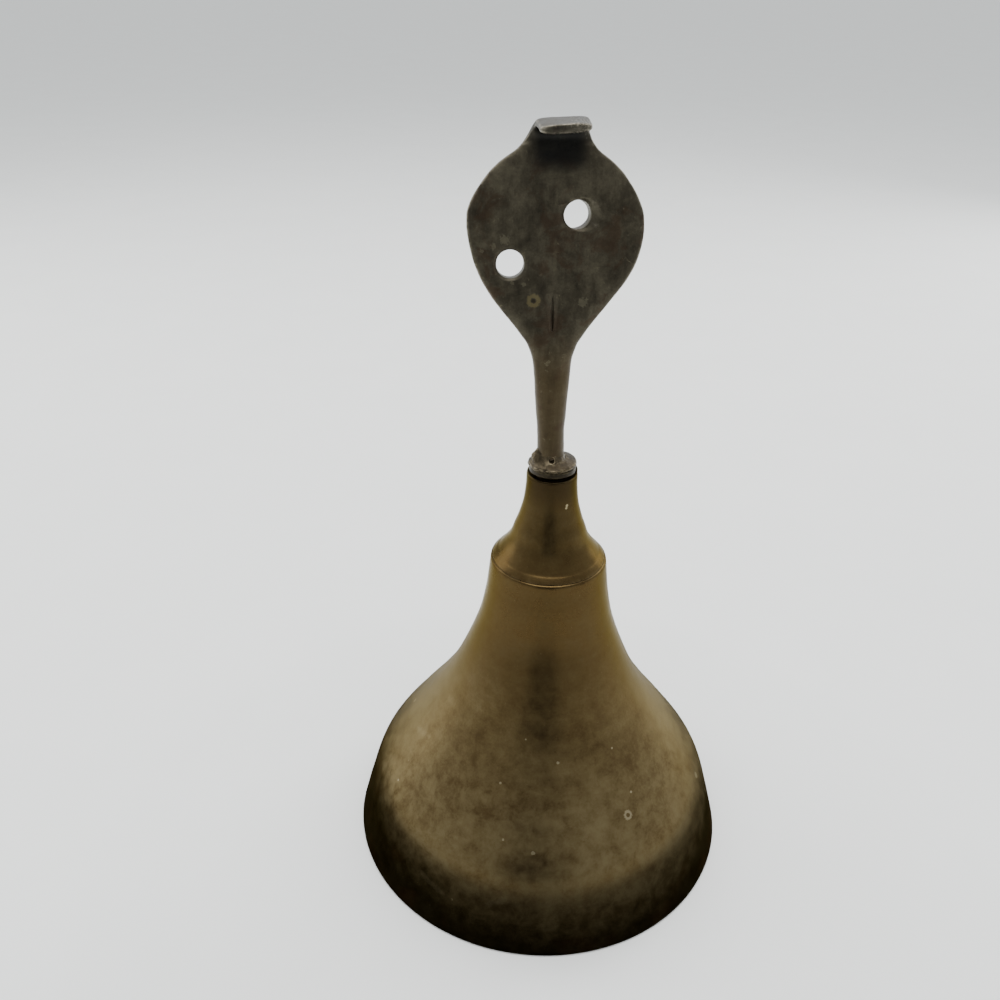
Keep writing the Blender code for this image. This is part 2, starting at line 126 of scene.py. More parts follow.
class Sheet:
    """A node tree being written: node() adds one node and returns the output asked for."""

    def __init__(self, tree):
        self.tree = tree

    def node(self, kind, settings=None, inputs=None, output=0):
        made = self.tree.nodes.new(kind)
        for name, value in (settings or {}).items():
            if name == "stops":
                ramp = made.color_ramp
                while len(ramp.elements) < len(value):
                    ramp.elements.new(0.5)
                for element, (position, color) in zip(ramp.elements, value):
                    element.position = position
                    element.color = (*color, 1.0)
            else:
                setattr(made, name, value)
        for name, value in (inputs or {}).items():
            socket = self.socket(made.inputs, name)
            if isinstance(value, Signal):
                self.tree.links.new(value.socket, socket)
            else:
                socket.default_value = value
        return Signal(self, self.socket(made.outputs, output))

    def math(self, operation, *values):
        return self.node("ShaderNodeMath", {"operation": operation}, dict(enumerate(values)))

    def split(self, vector):
        """A vector's x, y and z."""
        parts = self.node("ShaderNodeSeparateXYZ", inputs={0: vector}).socket.node.outputs
        return [Signal(self, part) for part in parts]

    @staticmethod
    def socket(sockets, name):
        if isinstance(name, int):
            return sockets[name]
        return next(socket for socket in sockets if name in (socket.identifier, socket.name))


class Finish(Sheet):
    """A material with one Principled shader, patterned on the piece's own coordinates in millimetres."""

    def __init__(self, name):
        self.material = bpy.data.materials.new(name)
        self.material.use_nodes = True
        super().__init__(self.material.node_tree)
        self.shader = self.tree.nodes["Principled BSDF"]
        self.object = self.node("ShaderNodeTexCoord", output="Object")
        self.point = self.vector("SCALE", self.object, Scale=1 / MM)
        self.x, self.y, self.z = self.split(self.point)

    def vector(self, operation, first, second=None, output=0, **inputs):
        """One Vector Math node."""
        inputs[0] = first
        if second is not None:
            inputs[1] = second
        return self.node("ShaderNodeVectorMath", {"operation": operation}, inputs, output)

    def stretched(self, scale, turn=(0.0, 0.0, 0.0)):
        return self.node("ShaderNodeMapping", inputs={"Vector": self.object, "Rotation": turn,
                                                      "Scale": scale})

    def grain(self, size, detail=4.0, rough=0.6, warp=0.0, where=None, shift=0.0):
        """Noise with features of a size, from 0 to 1 about a middle of 0.5."""
        moved = self.vector("ADD", where or self.object, (0.31 * shift, 0.17 * shift, -0.23 * shift))
        return self.node("ShaderNodeTexNoise",
                         inputs={"Vector": moved, "Scale": 1.0 / (size * MM), "Detail": detail,
                                 "Roughness": rough, "Distortion": warp})

    def ramp(self, tone, *stops):
        """Colours by tone, each stop a tone and its colour."""
        return self.node("ShaderNodeValToRGB", {"stops": stops}, {"Fac": tone})

    def mixed(self, share, first, second):
        return self.node("ShaderNodeMix", {"data_type": "RGBA"},
                         {"Factor_Float": share, "A_Color": self.color(first),
                          "B_Color": self.color(second)}, "Result_Color")

    def layered(self, color, *layers):
        """A colour with others laid over it in turn, each by its share."""
        for share, tint in layers:
            color = self.mixed(share, color, tint)
        return color

    @staticmethod
    def color(value):
        return value if isinstance(value, Signal) or len(value) == 4 else (*value, 1.0)

    def attribute(self, name):
        return self.node("ShaderNodeAttribute", {"attribute_name": name}, output="Fac")

    def most(self, *signals):
        """The highest of some signals."""
        highest = signals[0]
        for other in signals[1:]:
            highest = self.math("MAXIMUM", highest, other)
        return highest

    def knocks(self, marks, ragged=0.5):
        """Ragged round marks, each a point on the surface and a radius, as one mask."""
        nearest = None
        for centre, size in marks:
            away = self.vector("DISTANCE", self.point, centre, "Value") / size
            nearest = away if nearest is None else self.math("MINIMUM", nearest, away)
        edge = (self.grain(0.35, 3.0, shift=13.0) - 0.5) * (2 * ragged)
        return 1.0 - (nearest + edge).between(0.75, 1.10)

    def ringed(self, centre, outer, inner, ragged=0.5):
        """A ragged ring round a point."""
        return self.knocks([(centre, outer)], ragged) - self.knocks([(centre, inner)], ragged)

    def streak(self, start, end, width):
        """A rubbed streak of a width between two points, ragged along its edges."""
        run = Vector(end) - Vector(start)
        from_start = self.vector("SUBTRACT", self.point, start)
        share = self.vector("DOT_PRODUCT", from_start, run / run.length_squared, "Value")
        share = self.math("MINIMUM", self.math("MAXIMUM", share, 0.0), 1.0)
        beside = self.vector("SCALE", run, Scale=share)
        away = self.vector("DISTANCE", from_start, beside, "Value") / width
        edge = (self.grain(width * 0.8, 3.0, 0.7, shift=14.0) - 0.5) * 3.0
        return 1.0 - (away + edge).between(0.3, 1.2)

    def scratches(self, size, sparse, turn, shift=0.0):
        """Fine straight scratches along one direction, set by a turn in radians."""
        lines = self.grain(size, 2.0, 0.5, where=self.stretched((1.0, 1.0, 0.04), turn), shift=shift)
        broken = self.grain(size * 14, 2.0, shift=shift + 5).between(0.5, 0.62)
        return lines.between(sparse, sparse + 0.05) * broken

    def bump(self, height, strength, distance):
        return self.node("ShaderNodeBump", inputs={"Height": height, "Strength": strength,
                                                   "Distance": distance * MM})

    def finish(self, **values):
        for name, value in values.items():
            socket = self.shader.inputs[name.replace("_", " ")]
            if isinstance(value, Signal):
                self.tree.links.new(value.socket, socket)
            else:
                socket.default_value = value
        return self.material


def smooth_line(points, per_span):
    """Points (z, radius) on a smooth curve through the given ones (Catmull-Rom)."""
    given = [Vector(point) for point in points]
    ends = [2 * given[0] - given[1]] + given + [2 * given[-1] - given[-2]]
    line = []
    for span in range(len(given) - 1):
        before, start, end, after = ends[span:span + 4]
        for step in range(per_span):
            t = step / per_span
            line.append(0.5 * (2 * start + (end - before) * t
                               + (2 * before - 5 * start + 4 * end - after) * t ** 2
                               + (3 * start - before - 3 * end + after) * t ** 3))
    return line + [given[-1]]


def eased(outline, radius, steps=5):
    """A closed (radius, z) outline in millimetres with its corners rounded, as the tool leaves them."""
    rounded = []
    for index, corner in enumerate(outline):
        here = Vector(corner)
        before = Vector(outline[index - 1]) - here
        after = Vector(outline[(index + 1) % len(outline)]) - here
        if before.normalized().dot(after.normalized()) < -0.9:
            rounded.append(here)
            continue
        reach = min(radius, before.length * 0.45, after.length * 0.45)
        start = here + before.normalized() * reach
        end = here + after.normalized() * reach
        for step in range(steps + 1):
            t = step / steps
            rounded.append(start * (1 - t) ** 2 + here * 2 * t * (1 - t) + end * t ** 2)
    return rounded


def divided(outline, spacing):
    """The same closed outline with no side longer than spacing."""
    points = []
    for index, start in enumerate(outline):
        end = outline[(index + 1) % len(outline)]
        parts = max(1, ceil((end - start).length / spacing))
        points += [start.lerp(end, part / parts) for part in range(parts)]
    return points


def turning_tree():
    """Geometry nodes that turn a closed outline round Z, as a lathe does, and let it wander a little."""
    tree = bpy.data.node_groups.new("turning", "GeometryNodeTree")
    names = {}
    for name, kind, default in (("Outline", "NodeSocketGeometry", None), ("Steps", "NodeSocketInt", 96),
                                ("Wander", "NodeSocketFloat", 0.0), ("Wander Size", "NodeSocketFloat", 0.01),
                                ("Seed", "NodeSocketFloat", 1.0), ("Material", "NodeSocketMaterial", None)):
        socket = tree.interface.new_socket(name, in_out="INPUT", socket_type=kind)
        if default is not None:
            socket.default_value = default
        names[name] = socket.identifier
    tree.interface.new_socket("Geometry", in_out="OUTPUT", socket_type="NodeSocketGeometry")
    sheet = Sheet(tree)
    given = tree.nodes.new("NodeGroupInput")
    asked = {name: Signal(sheet, given.outputs[name]) for name in names}
    count = sheet.node("GeometryNodeAttributeDomainSize", {"component": "MESH"},
                       {"Geometry": asked["Outline"]}, "Point Count")
    rows = count + 1.0
    grid = sheet.node("GeometryNodeMeshGrid", inputs={"Size X": 1.0, "Size Y": 1.0,
                                                      "Vertices X": asked["Steps"] + 1.0,
                                                      "Vertices Y": rows})
    index = sheet.node("GeometryNodeInputIndex")
    row = index % rows % count
    turn = sheet.math("FLOOR", index / rows) / asked["Steps"] * tau
    at = sheet.node("GeometryNodeSampleIndex", {"data_type": "FLOAT_VECTOR", "domain": "POINT"},
                    {"Geometry": asked["Outline"], "Value": sheet.node("GeometryNodeInputPosition"),
                     "Index": row}, "Value")
    radius, side, height = sheet.split(at)
    around = sheet.node("ShaderNodeCombineXYZ", inputs={0: radius * sheet.math("COSINE", turn),
                                                        1: radius * sheet.math("SINE", turn),
                                                        2: height})
    turned = sheet.node("GeometryNodeSetPosition", inputs={"Geometry": grid, "Position": around})
    closed = sheet.node("GeometryNodeMergeByDistance", inputs={"Geometry": turned, "Distance": 1e-6})
    waver = sheet.node("ShaderNodeTexNoise", {"noise_dimensions": "4D"},
                       {"W": asked["Seed"], "Scale": 1.0 / asked["Wander Size"], "Detail": 3.0})
    offset = sheet.node("ShaderNodeVectorMath", {"operation": "SCALE"},
                        {0: sheet.node("GeometryNodeInputNormal"),
                         "Scale": (0.5 - waver) * 2.0 * asked["Wander"]})
    made = sheet.node("GeometryNodeSetPosition", inputs={"Geometry": closed, "Offset": offset})
    outward = sheet.node("GeometryNodeFlipFaces", inputs={"Mesh": made})
    smooth = sheet.node("GeometryNodeSetShadeSmooth", inputs={"Geometry": outward})
    real = sheet.node("GeometryNodeRealizeInstances", inputs={"Geometry": smooth})
    coated = sheet.node("GeometryNodeSetMaterial", inputs={"Geometry": real, "Material": asked["Material"]})
    tree.links.new(coated.socket, tree.nodes.new("NodeGroupOutput").inputs[0])
    return tree, names


TURNING, TURNING_INPUTS = turning_tree()


def turned(name, outline, steps, material, wander=0.0, wander_size=3.0, seed=1.0):
    """A finished turned piece from its closed (radius, z) outline in millimetres."""
    line = bpy.data.meshes.new(name)
    line.from_pydata([(radius * MM, 0.0, z * MM) for radius, z in outline], [], [])
    blank = bpy.data.objects.new(name + "_blank", line)
    bpy.context.scene.collection.objects.link(blank)
    lathe = blank.modifiers.new("turning", "NODES")
    lathe.node_group = TURNING
    for label, value in (("Steps", steps), ("Wander", wander * MM), ("Wander Size", wander_size * MM),
                         ("Seed", seed), ("Material", material)):
        lathe[TURNING_INPUTS[label]] = value
    bpy.context.view_layer.update()
    mesh = bpy.data.meshes.new_from_object(
        blank.evaluated_get(bpy.context.evaluated_depsgraph_get()))
    bpy.data.objects.remove(blank)
    mesh.name = name
    piece = bpy.data.objects.new(name, mesh)
    bpy.context.scene.collection.objects.link(piece)
    return piece


def bell_outline():
    """Neck, arris, skirt, rim, hollow and bore, as one closed outline running down the outside."""
    def flipped(line):
        return [Vector((radius, z)) for z, radius in line]

    crown = eased([(CROWN_BORE, 83.0), (3.0, 83.0), (3.0, 82.4), (4.2, 82.4), (4.3, 83.0), (4.6, 82.9)],
                  0.12, 3)
    neck = flipped(smooth_line(NECK, 10))
    arris = [Vector(point) for point in ((10.06, 65.92), (10.28, 65.68), (10.44, 65.48), (10.52, 65.36),
                                         (10.46, 65.3), (10.44, 65.26), (10.50, 65.22), (10.70, 65.18),
                                         (10.77, 65.08))]
    skirt = flipped(smooth_line(SKIRT, 16))
    rim = [Vector((37.94, 0.25)), Vector((37.8, 0.08)), Vector((37.55, 0.0)), Vector((35.8, 0.0)),
           Vector((35.55, 0.1)), Vector((35.43, 0.28))]
    hollow = flipped(smooth_line(HOLLOW, 7))
    bore = [Vector((CROWN_BORE + 0.2, 62.0)), Vector((CROWN_BORE, 62.2))]
    return divided(crown[2:] + neck + arris + skirt + rim + hollow + bore, 1.0)


def brass_finish():
    """Turned yellow brass gone brown: patina in clouds, tool rings, rubbed edges and old knocks, with
    painted reflections.
    """
    brass = Finish("aged_bell_brass")
    x, y, z = brass.x, brass.y, brass.z
    inside = 1.0 - (brass.math("SQRT", x * x + y * y) - bell_wall(brass)).between(-0.2, 0.3)

    clouds = brass.grain(22.0, 5.0, 0.60, 0.5)
    mottle = brass.grain(3.2, 6.0, 0.68, 0.2, shift=2.0)
    speckle = brass.grain(0.42, 3.0, 0.6, shift=3.0)
    rings = brass.grain(0.16, 2.0, 0.7, where=brass.stretched((0.02, 0.02, 1.0)), shift=4.0)
    bands = brass.grain(1.7, 3.0, 0.6, where=brass.stretched((0.03, 0.03, 1.0)), shift=5.0)

    tone = clouds * 0.42 + mottle * 0.36 + speckle * 0.14 + bands * 0.12
    khaki = brass.ramp(tone, (0.32, (0.052, 0.029, 0.007)), (0.44, (0.082, 0.051, 0.015)),
                       (0.54, (0.116, 0.080, 0.028)), (0.68, (0.165, 0.124, 0.054)))
    # Painted light: the lower belly's colour is lightened in mottled patches.
    belly_painted_light = (1.0 - z.between(22, 36)) * mottle.between(0.30, 0.70)
    # Painted dark reflection: the colour darkens towards the rim and on the left and right sides, in two
    # umber tones.
    reflection_tide = z + x * 0.05 + brass.math("ABSOLUTE", y) * 0.25 + (mottle - 0.5) * 8.0
    low = 1.0 - reflection_tide.between(7, 25)
    painted_dark_reflection = (low * (0.70 + clouds * 0.6)).between(0.12, 0.95)
    rust = brass.grain(9.0, 4.0, 0.6, shift=7.0).between(0.5, 0.66) * low
    reflection_umber = brass.mixed(rust * 0.7, (0.010, 0.0075, 0.0028), (0.026, 0.010, 0.004))
    # Painted dark reflection: the neck and waist are darkened to deepen the dark streak down the front.
    neck = z.between(62, 80)
    waist_painted_dark = z.between(30, 52) * (1.0 - neck) * (0.55 + clouds * 0.5)

    arris = z.near(ARRIS_Z, 0.45)
    lip = z.near(CROWN_TOP, 0.4)
    rim = 1.0 - z.between(0.1, 0.9)
    rubbed = (arris * 0.35 + lip * 0.6 + rim * 0.5) * mottle.between(0.38, 0.66)
    seam = z.near(ARRIS_Z - 0.1, 0.14)
    scratch = brass.most(brass.scratches(0.16, 0.72, (0.5, 0.35, 0.2)),
                         brass.scratches(0.13, 0.73, (1.35, -0.5, 1.1), 9.0))
    cells = brass.node("ShaderNodeTexVoronoi", {"feature": "F1"},
                       {"Vector": brass.point, "Scale": 1 / 3.6, "Randomness": 1.0}, "Distance")
    pits = (1.0 - cells.between(0.05, 0.085)) * brass.grain(7.0, 1.0, shift=11.0).between(0.6, 0.64)
    bare = brass.most(brass.knocks(KNOCKS), brass.ringed(RING_CHIP, 0.95, 0.45),
                      *(brass.streak(start, end, 0.7) * 0.14 for start, end in STREAKS))
    cast = brass.mixed(mottle, (0.030, 0.022, 0.010), (0.105, 0.078, 0.036))
    struck = brass.knocks([((side * 26.6, 0.0, 20.5), 2.0) for side in (-1, 1)]) * inside
    color = brass.layered(
        khaki, (belly_painted_light * 0.45, (0.190, 0.150, 0.072)), (painted_dark_reflection * 0.84, reflection_umber),
        (neck * 0.80, (0.030, 0.019, 0.007)), (z.between(76, 82) * 0.6, (0.016, 0.010, 0.004)),
        (waist_painted_dark * 0.85, (0.048, 0.028, 0.009)), (rubbed * 0.5, (0.26, 0.20, 0.10)),
        (scratch * 0.4, (0.26, 0.21, 0.12)), (brass.most(bare, pits) * 0.85, (0.30, 0.25, 0.145)),
        (seam * 0.8, (0.012, 0.008, 0.004)), (inside, cast), (struck * 0.8, (0.50, 0.39, 0.18)))

    rough = 0.38 - z.between(40, 52) * 0.07 + (mottle - 0.5) * 0.30 + (clouds - 0.5) * 0.25
    rough = rough + painted_dark_reflection * 0.16 - rubbed * 0.12 + inside * 0.2
    height = rings * 0.35 + speckle * 0.35 + mottle * 0.5 - scratch * 0.8 - bare * 0.7 - pits
    height = height + inside * (speckle + mottle) * 2.0
    coat_where_unpainted = (1.0 - inside) * (1.0 - painted_dark_reflection) * (1.0 - (neck + waist_painted_dark) * 0.75)
    return brass.finish(Base_Color=color, Metallic=1.0 - inside * 0.4, Roughness=rough,
                        Specular_Tint=(0.60, 0.56, 0.44, 1.0), Coat_Roughness=0.40,
                        Coat_Weight=(0.16 + clouds * 0.24) * coat_where_unpainted,
                        Normal=brass.bump(height, 0.35, 0.05))


def bell_wall(sheet):
    """Radius half way through the bell's wall at each height, as nodes."""
    wall = sheet.node("ShaderNodeFloatCurve", inputs={"Value": sheet.z / CROWN_TOP})
    curve = wall.socket.node.mapping.curves[0]
    while len(curve.points) < len(MID_WALL):
        curve.points.new(0.5, 0.5)
    for point, (z, radius) in zip(curve.points, MID_WALL):
        point.location = (z / CROWN_TOP, radius / CURVE_REACH)
        point.handle_type = "VECTOR"
    wall.socket.node.mapping.update()
    return wall * CURVE_REACH


# Height and radius half way through the wall, and the radius that the curve's full height means
MID_WALL = ((0.0, 36.8), (7.6, 34.9), (15.2, 32.3), (22.8, 27.2), (30.4, 21.6), (38.0, 17.0),
            (49.4, 12.4), (57.0, 10.4), (61.8, 8.6), (62.3, 0.0), (83.0, 0.0))
CURVE_REACH = 40.0
# Old knocks that show bare metal: where each is on the outside, and its size
RING_CHIP = (14.71, -24.64, 22.5)
KNOCKS = (((-3.55, -30.6, 19.6), 0.40), ((1.3, -21.2, 32.8), 0.30), ((31.6, -8.9, 16.6), 0.70),
          ((34.6, -7.2, 10.5), 0.50), ((2.5, -4.25, 78.2), 0.30), ((2.35, -4.3, 77.75), 0.26),
          ((15.5, -21.6, 25.4), 0.28), ((-26.4, 5.9, 24.8), 0.45), ((-9.0, -28.5, 20.9), 0.24),
          ((11.9, -17.6, 32.8), 0.22))
# Faint rubbed streaks: where each starts and ends on the outside
STREAKS = (((-25.2, -4.5, 26.4), (-23.2, -8.8, 28.4)), ((-24.4, -26.0, 9.2), (-20.6, -29.6, 8.0)),
           ((-11.8, -33.4, 9.4), (-8.8, -34.0, 11.2)))

bell_brass = brass_finish()
bell = turned("bell_casting", bell_outline(), CAST_STEPS, bell_brass, 0.03, 14.0, 3.0)


def nick_bell(mesh):
    """Knocks the arris here and there and turns up the burr on the crown's lip."""
    for vertex in mesh.vertices:
        x, y, z = vertex.co
        around = atan2(y, x)
        out = hypot(x, y)
        if abs(z - ARRIS_Z * MM) < 0.35 * MM and out > 9 * MM:
            bite = max(noise.noise(Vector((around * 9, 3.0, 0.0))) - 0.28, 0.0)
            vertex.co.x -= x / out * bite * 0.5 * MM
            vertex.co.y -= y / out * bite * 0.5 * MM
        if z > BURR_FOOT * MM and out > 4.15 * MM:
            share = max(1.0 - abs(around - BURR_TURN) / BURR_WIDTH, 0.0)
            ragged = 0.8 + 0.5 * noise.noise(Vector((around * 14, 0.0, 7.0)))
            vertex.co.z += share ** 0.6 * ragged * BURR_HEIGHT * MM * (z - BURR_FOOT * MM) / (0.4 * MM)
            vertex.co.z += 0.05 * MM * noise.noise(Vector((around * 11, 1.0, 2.0)))


nick_bell(bell.data)


def mark_wear(mesh, low=0.5, high=1.6):
    """Stores how hard each point has been rubbed, 0 to 1, from how sharply the shape bulges there."""
    bulge = [0.0] * len(mesh.vertices)
    joined = [[] for vertex in mesh.vertices]
    for edge in mesh.edges:
        start, end = edge.vertices
        along = mesh.vertices[end].co - mesh.vertices[start].co
        reach = max(along.length_squared, 1e-12)
        bulge[start] -= along.dot(mesh.vertices[start].normal) / reach
        bulge[end] += along.dot(mesh.vertices[end].normal) / reach
        joined[start].append(end)
        joined[end].append(start)
    sharp = [2 * MM * value / max(len(near), 1) for value, near in zip(bulge, joined)]
    worn = [min(max((value - low) / (high - low), 0.0), 1.0) for value in sharp]
    spread = [(value + sum(worn[other] for other in near) / max(len(near), 1)) / 2
              for value, near in zip(worn, joined)]
    layer = mesh.attributes.new("wear", "FLOAT", "POINT")
    layer.data.foreach_set("value", spread)


# Unseeded, noise_vector shifts its pattern by the clock
noise.seed_set(11)


def roughened(mesh, size, depth, seed=0.0):
    """Pushes the surface about by smooth noise with features of a size, as filing and wear do."""
    shift = Vector((seed, seed * 0.37, -seed))
    for vertex in mesh.vertices:
        vertex.co += noise.noise_vector(vertex.co / (size * MM) + shift) * depth * MM


def old_metal(name, dark, middle, light, bare, size, rough=0.5, relief=0.4):
    """Tarnished metal in clouds of three tones, bared where the piece's wear attribute is high."""
    metal = Finish(name)
    clouds = metal.grain(size * 3, 5.0, 0.62, 0.5, shift=1.0)
    mottle = metal.grain(size, 6.0, 0.68, 0.3, shift=2.0)
    speckle = metal.grain(size * 0.16, 3.0, 0.6, shift=3.0)
    tone = clouds * 0.4 + mottle * 0.4 + speckle * 0.2
    wear = metal.attribute("wear") * mottle.between(0.36, 0.6)
    color = metal.mixed(wear * 0.85, metal.ramp(tone, (0.36, dark), (0.5, middle), (0.66, light)), bare)
    return metal.finish(
        Base_Color=color, Metallic=0.9,
        Roughness=rough + (mottle - 0.5) * 0.35 + (clouds - 0.5) * 0.2 - wear * 0.12,
        Coat_Weight=0.12, Coat_Roughness=0.4,
        Normal=metal.bump(mottle * 0.8 + speckle * 0.5, relief, 0.06))


def settled(piece, body, node):
    """The piece rides on a body in place of the CAD's node."""
    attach(piece, body)
    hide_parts(node)


mark_wear(bell.data)
settled(bell, "bell", "bell_body")

# ------------------------------------------------
# Crown washer: a stamped brass disc under the handle's flange, seated on the crown's boss. The
# handle was brazed on a little crooked and tipped it, so a dark gap shows above the lip in front.
WASHER_RADIUS = 4.2
WASHER_BORE = 2.3
WASHER_BOTTOM = 83.35
WASHER_TOP = 84.3
WASHER_TIP = radians(3.4)

washer_brass = old_metal("dark_washer_brass", (0.010, 0.007, 0.003), (0.021, 0.015, 0.007),
                         (0.040, 0.030, 0.015), (0.10, 0.080, 0.042), 1.2, 0.5)


def ring_outline(outer, inner, bottom, top, ease):
    """A flat ring's section in millimetres with eased edges, run over the top and down outside."""
    return divided(eased([(inner, top), (outer, top), (outer, bottom), (inner, bottom)], ease), 0.22)


washer = turned("crown_washer_worn", ring_outline(WASHER_RADIUS, WASHER_BORE, WASHER_BOTTOM, WASHER_TOP,
                                                  0.16), 144, washer_brass, 0.07, 1.6, 5.0)
middle = Matrix.Translation((0.0, 0.0, (WASHER_BOTTOM + WASHER_TOP) / 2 * MM))
washer.data.transform(middle @ Matrix.Rotation(-WASHER_TIP, 4, "X") @ middle.inverted())
mark_wear(washer.data)
settled(washer, "bell", "crown_washer")

# ------------------------------------------------
# Foot flange: the brass ring round the foot of the handle that bears on the washer. It was cast
# rough and filed round by eye, so its lower edge waves and hangs over the washer in places.
FLANGE = ((2.3, 86.0), (2.7, 85.9), (3.6, 85.45), (4.1, 85.15), (4.28, 84.95), (4.25, 84.62), (3.9, 84.5),
          (2.3, 84.5))                                  # radius, z round its section
FLANGE_EDGE_TOP = 84.95

flange_brass = old_metal("filed_flange_brass", (0.014, 0.009, 0.003), (0.034, 0.024, 0.011),
                         (0.064, 0.048, 0.025), (0.19, 0.155, 0.095), 1.0, 0.5, relief=0.6)


def wave_flange(mesh):
    """Lets the flange's lower edge hang unevenly and draws its left side out in a small lump."""
    for vertex in mesh.vertices:
        around = atan2(vertex.co.y, vertex.co.x)
        low = min(max((FLANGE_EDGE_TOP * MM - vertex.co.z) / (0.7 * MM), 0.0), 1.0)
        out = min(max((hypot(vertex.co.x, vertex.co.y) - 3.0 * MM) / (1.2 * MM), 0.0), 1.0)
        wave = noise.noise(Vector((cos(around) * 2.2, sin(around) * 2.2, 4.0)))
        fine = noise.noise(Vector((around * 8, 5.0, 0.0)))
        vertex.co.z += (wave * 0.30 + fine * 0.12) * low * out * MM
        vertex.co.z += 0.16 * cos(around) * out * MM
        lump = max(1.0 - abs(abs(around) - pi) / 0.5, 0.0)
        vertex.co.x -= lump * 0.22 * out * MM


flange = turned("foot_flange_filed", divided(eased(FLANGE[::-1], 0.14)[::-1], 0.2), 192, flange_brass,
                0.10, 0.9, 8.0)
wave_flange(flange.data)
mark_wear(flange.data)
settled(flange, "bell", "foot_flange")

# ------------------------------------------------
# Braze: the run of filler metal that joins the handle's foot to its flange, climbing the shank
# in a lump on the hood's left and left as it froze, with one blowhole in front.
BRAZE_X = -0.5
BRAZE_FOOT = 84.9
BRAZE_RISE = 2.0
BRAZE_REACH = 1.9
SHANK = 2.2
BLOWHOLE = Vector((-0.45 * MM, -2.75 * MM, 86.5 * MM))
BRAZE_LUMP = Vector((-3.0 * MM, -0.9 * MM, 86.7 * MM))
# How high and how far out the filler runs, by degrees round from the +X side
BRAZE_RUN = ((0, 0.95, 1.1), (35, 0.8, 1.0), (90, 0.85, 0.8), (145, 1.0, 0.75), (170, 1.35, 0.85),
             (195, 1.4, 0.85), (222, 1.25, 1.0), (250, 1.12, 1.05), (275, 1.08, 1.1), (310, 0.95, 1.15),
             (338, 0.9, 1.15), (360, 0.95, 1.1))

braze_metal = old_metal("frozen_braze", (0.014, 0.010, 0.005), (0.050, 0.038, 0.020),
                        (0.125, 0.100, 0.060), (0.32, 0.26, 0.16), 0.8, 0.42, relief=0.5)


def braze_outline():
    """A full quarter of filler between the shank and the flange, in millimetres."""
    foot = SHANK + BRAZE_REACH
    curve = [(SHANK + BRAZE_REACH * (1 - cos(turn)) ** 0.8, BRAZE_FOOT + 0.2 + BRAZE_RISE
              * (1 - sin(turn)) ** 0.9) for turn in [pi / 2 * step / 16 for step in range(1, 17)]]
    outline = [(SHANK - 0.15, BRAZE_FOOT + 0.2 + BRAZE_RISE)] + curve
    outline += [(foot, BRAZE_FOOT), (SHANK - 0.15, BRAZE_FOOT)]
    return divided([Vector(point) for point in outline], 0.14)


def run_braze(mesh):
    """Runs the filler higher and further round the shank as BRAZE_RUN says, and opens the blowhole."""
    for vertex in mesh.vertices:
        around = degrees(atan2(vertex.co.y, vertex.co.x)) % 360
        for (start, rise, reach), (end, next_rise, next_reach) in zip(BRAZE_RUN, BRAZE_RUN[1:]):
            if around <= end:
                break
        share = (around - start) / (end - start)
        share = share * share * (3 - 2 * share)
        high = rise + (next_rise - rise) * share
        wide = reach + (next_reach - reach) * share
        radius = hypot(vertex.co.x, vertex.co.y)
        out = SHANK * MM + (radius - SHANK * MM) * wide
        vertex.co.x *= out / radius
        vertex.co.y *= out / radius
        vertex.co.z = BRAZE_FOOT * MM + (vertex.co.z - BRAZE_FOOT * MM) * high
        vertex.co.x += BRAZE_X * MM
    roughened(mesh, 0.9, 0.13, 3.0)
    for vertex in mesh.vertices:
        swell = max(1.0 - (vertex.co - BRAZE_LUMP).length / (1.5 * MM), 0.0)
        vertex.co.x -= min(swell * 1.1, 0.75) * MM
        near = max(1.0 - (vertex.co - BLOWHOLE).length / (0.6 * MM), 0.0)
        vertex.co += Vector((0.0, 0.95, -0.12)) * MM * min(near * 2.2, 1.0)


braze = turned("braze_run", braze_outline(), 220, braze_metal)
run_braze(braze.data)
mark_wear(braze.data, 0.8, 2.6)
settled(braze, "bell", "braze_fillet")

# ------------------------------------------------
# Cobra handle: a forged brass bar, round at the shank, spread into the snake's hood and bent
# forward at the head; two holes drilled through the hood and a groove cut at its throat. Lengths
# run up its centre line from the shoulder, in millimetres.
SHOULDER_Z = 86.0
TANG_RADIUS = 2.0
TANG_END = 54.6
BACK_LEAN = radians(8.0)
LEAN_START = 17.0
LEAN_RADIUS = 50.0
BEND_START = 52.85
BEND_RADIUS = 3.0
HEAD_LENGTH = 6.1
HANDLE_LENGTH = BEND_START + BEND_RADIUS * (BACK_LEAN + pi / 2) + HEAD_LENGTH
HEAD_CORNER = 1.2
HEAD_EASE = 0.32
HEAD_ROLL = radians(3.0)
HOOD_WIDTHS = ((0, 2.36), (5, 2.38), (9, 2.66), (18, 3.25), (21, 4.12), (23, 5.45), (29, 10.0),
               (32, 11.95), (35, 13.3), (38, 14.0), (40, 14.2), (42, 14.1), (44, 13.5), (48, 10.95),
               (50, 8.9), (52, 6.25), (53.4, 5.2), (55, 4.5), (57, 4.05), (64, 3.9))
HOOD_THICKNESSES = ((0, 2.25), (10, 2.3), (17.3, 2.1), (24, 1.7), (30, 1.4), (40, 1.25),
                    (50, 1.1), (54, 0.95), (57, 0.8), (64, 0.72))
HOOD_SQUARENESS = ((0, 2.0), (17.3, 2.2), (28, 3.1), (48, 3.3), (57, 3.6), (64, 3.6))
DRIFT = ((0, -0.48), (10, -0.76), (20, -0.96), (28.5, -1.2), (35, -1.0), (47, -1.18), (52, -0.98),
         (58, -0.68), (64, -0.62))
HOOD_DISH = 0.8
HOLE_RADIUS = 2.28
HOLES = ((2.2, 127.9, 14.0), (-8.25, 120.2, 0.0))        # x, z, and the drill's tilt in degrees
GROOVE_Z = 112.6
GROOVE_SIZE = (0.16, 0.26, 4.0)
HANDLE_ROUND = 132
HANDLE_STEP = 0.36


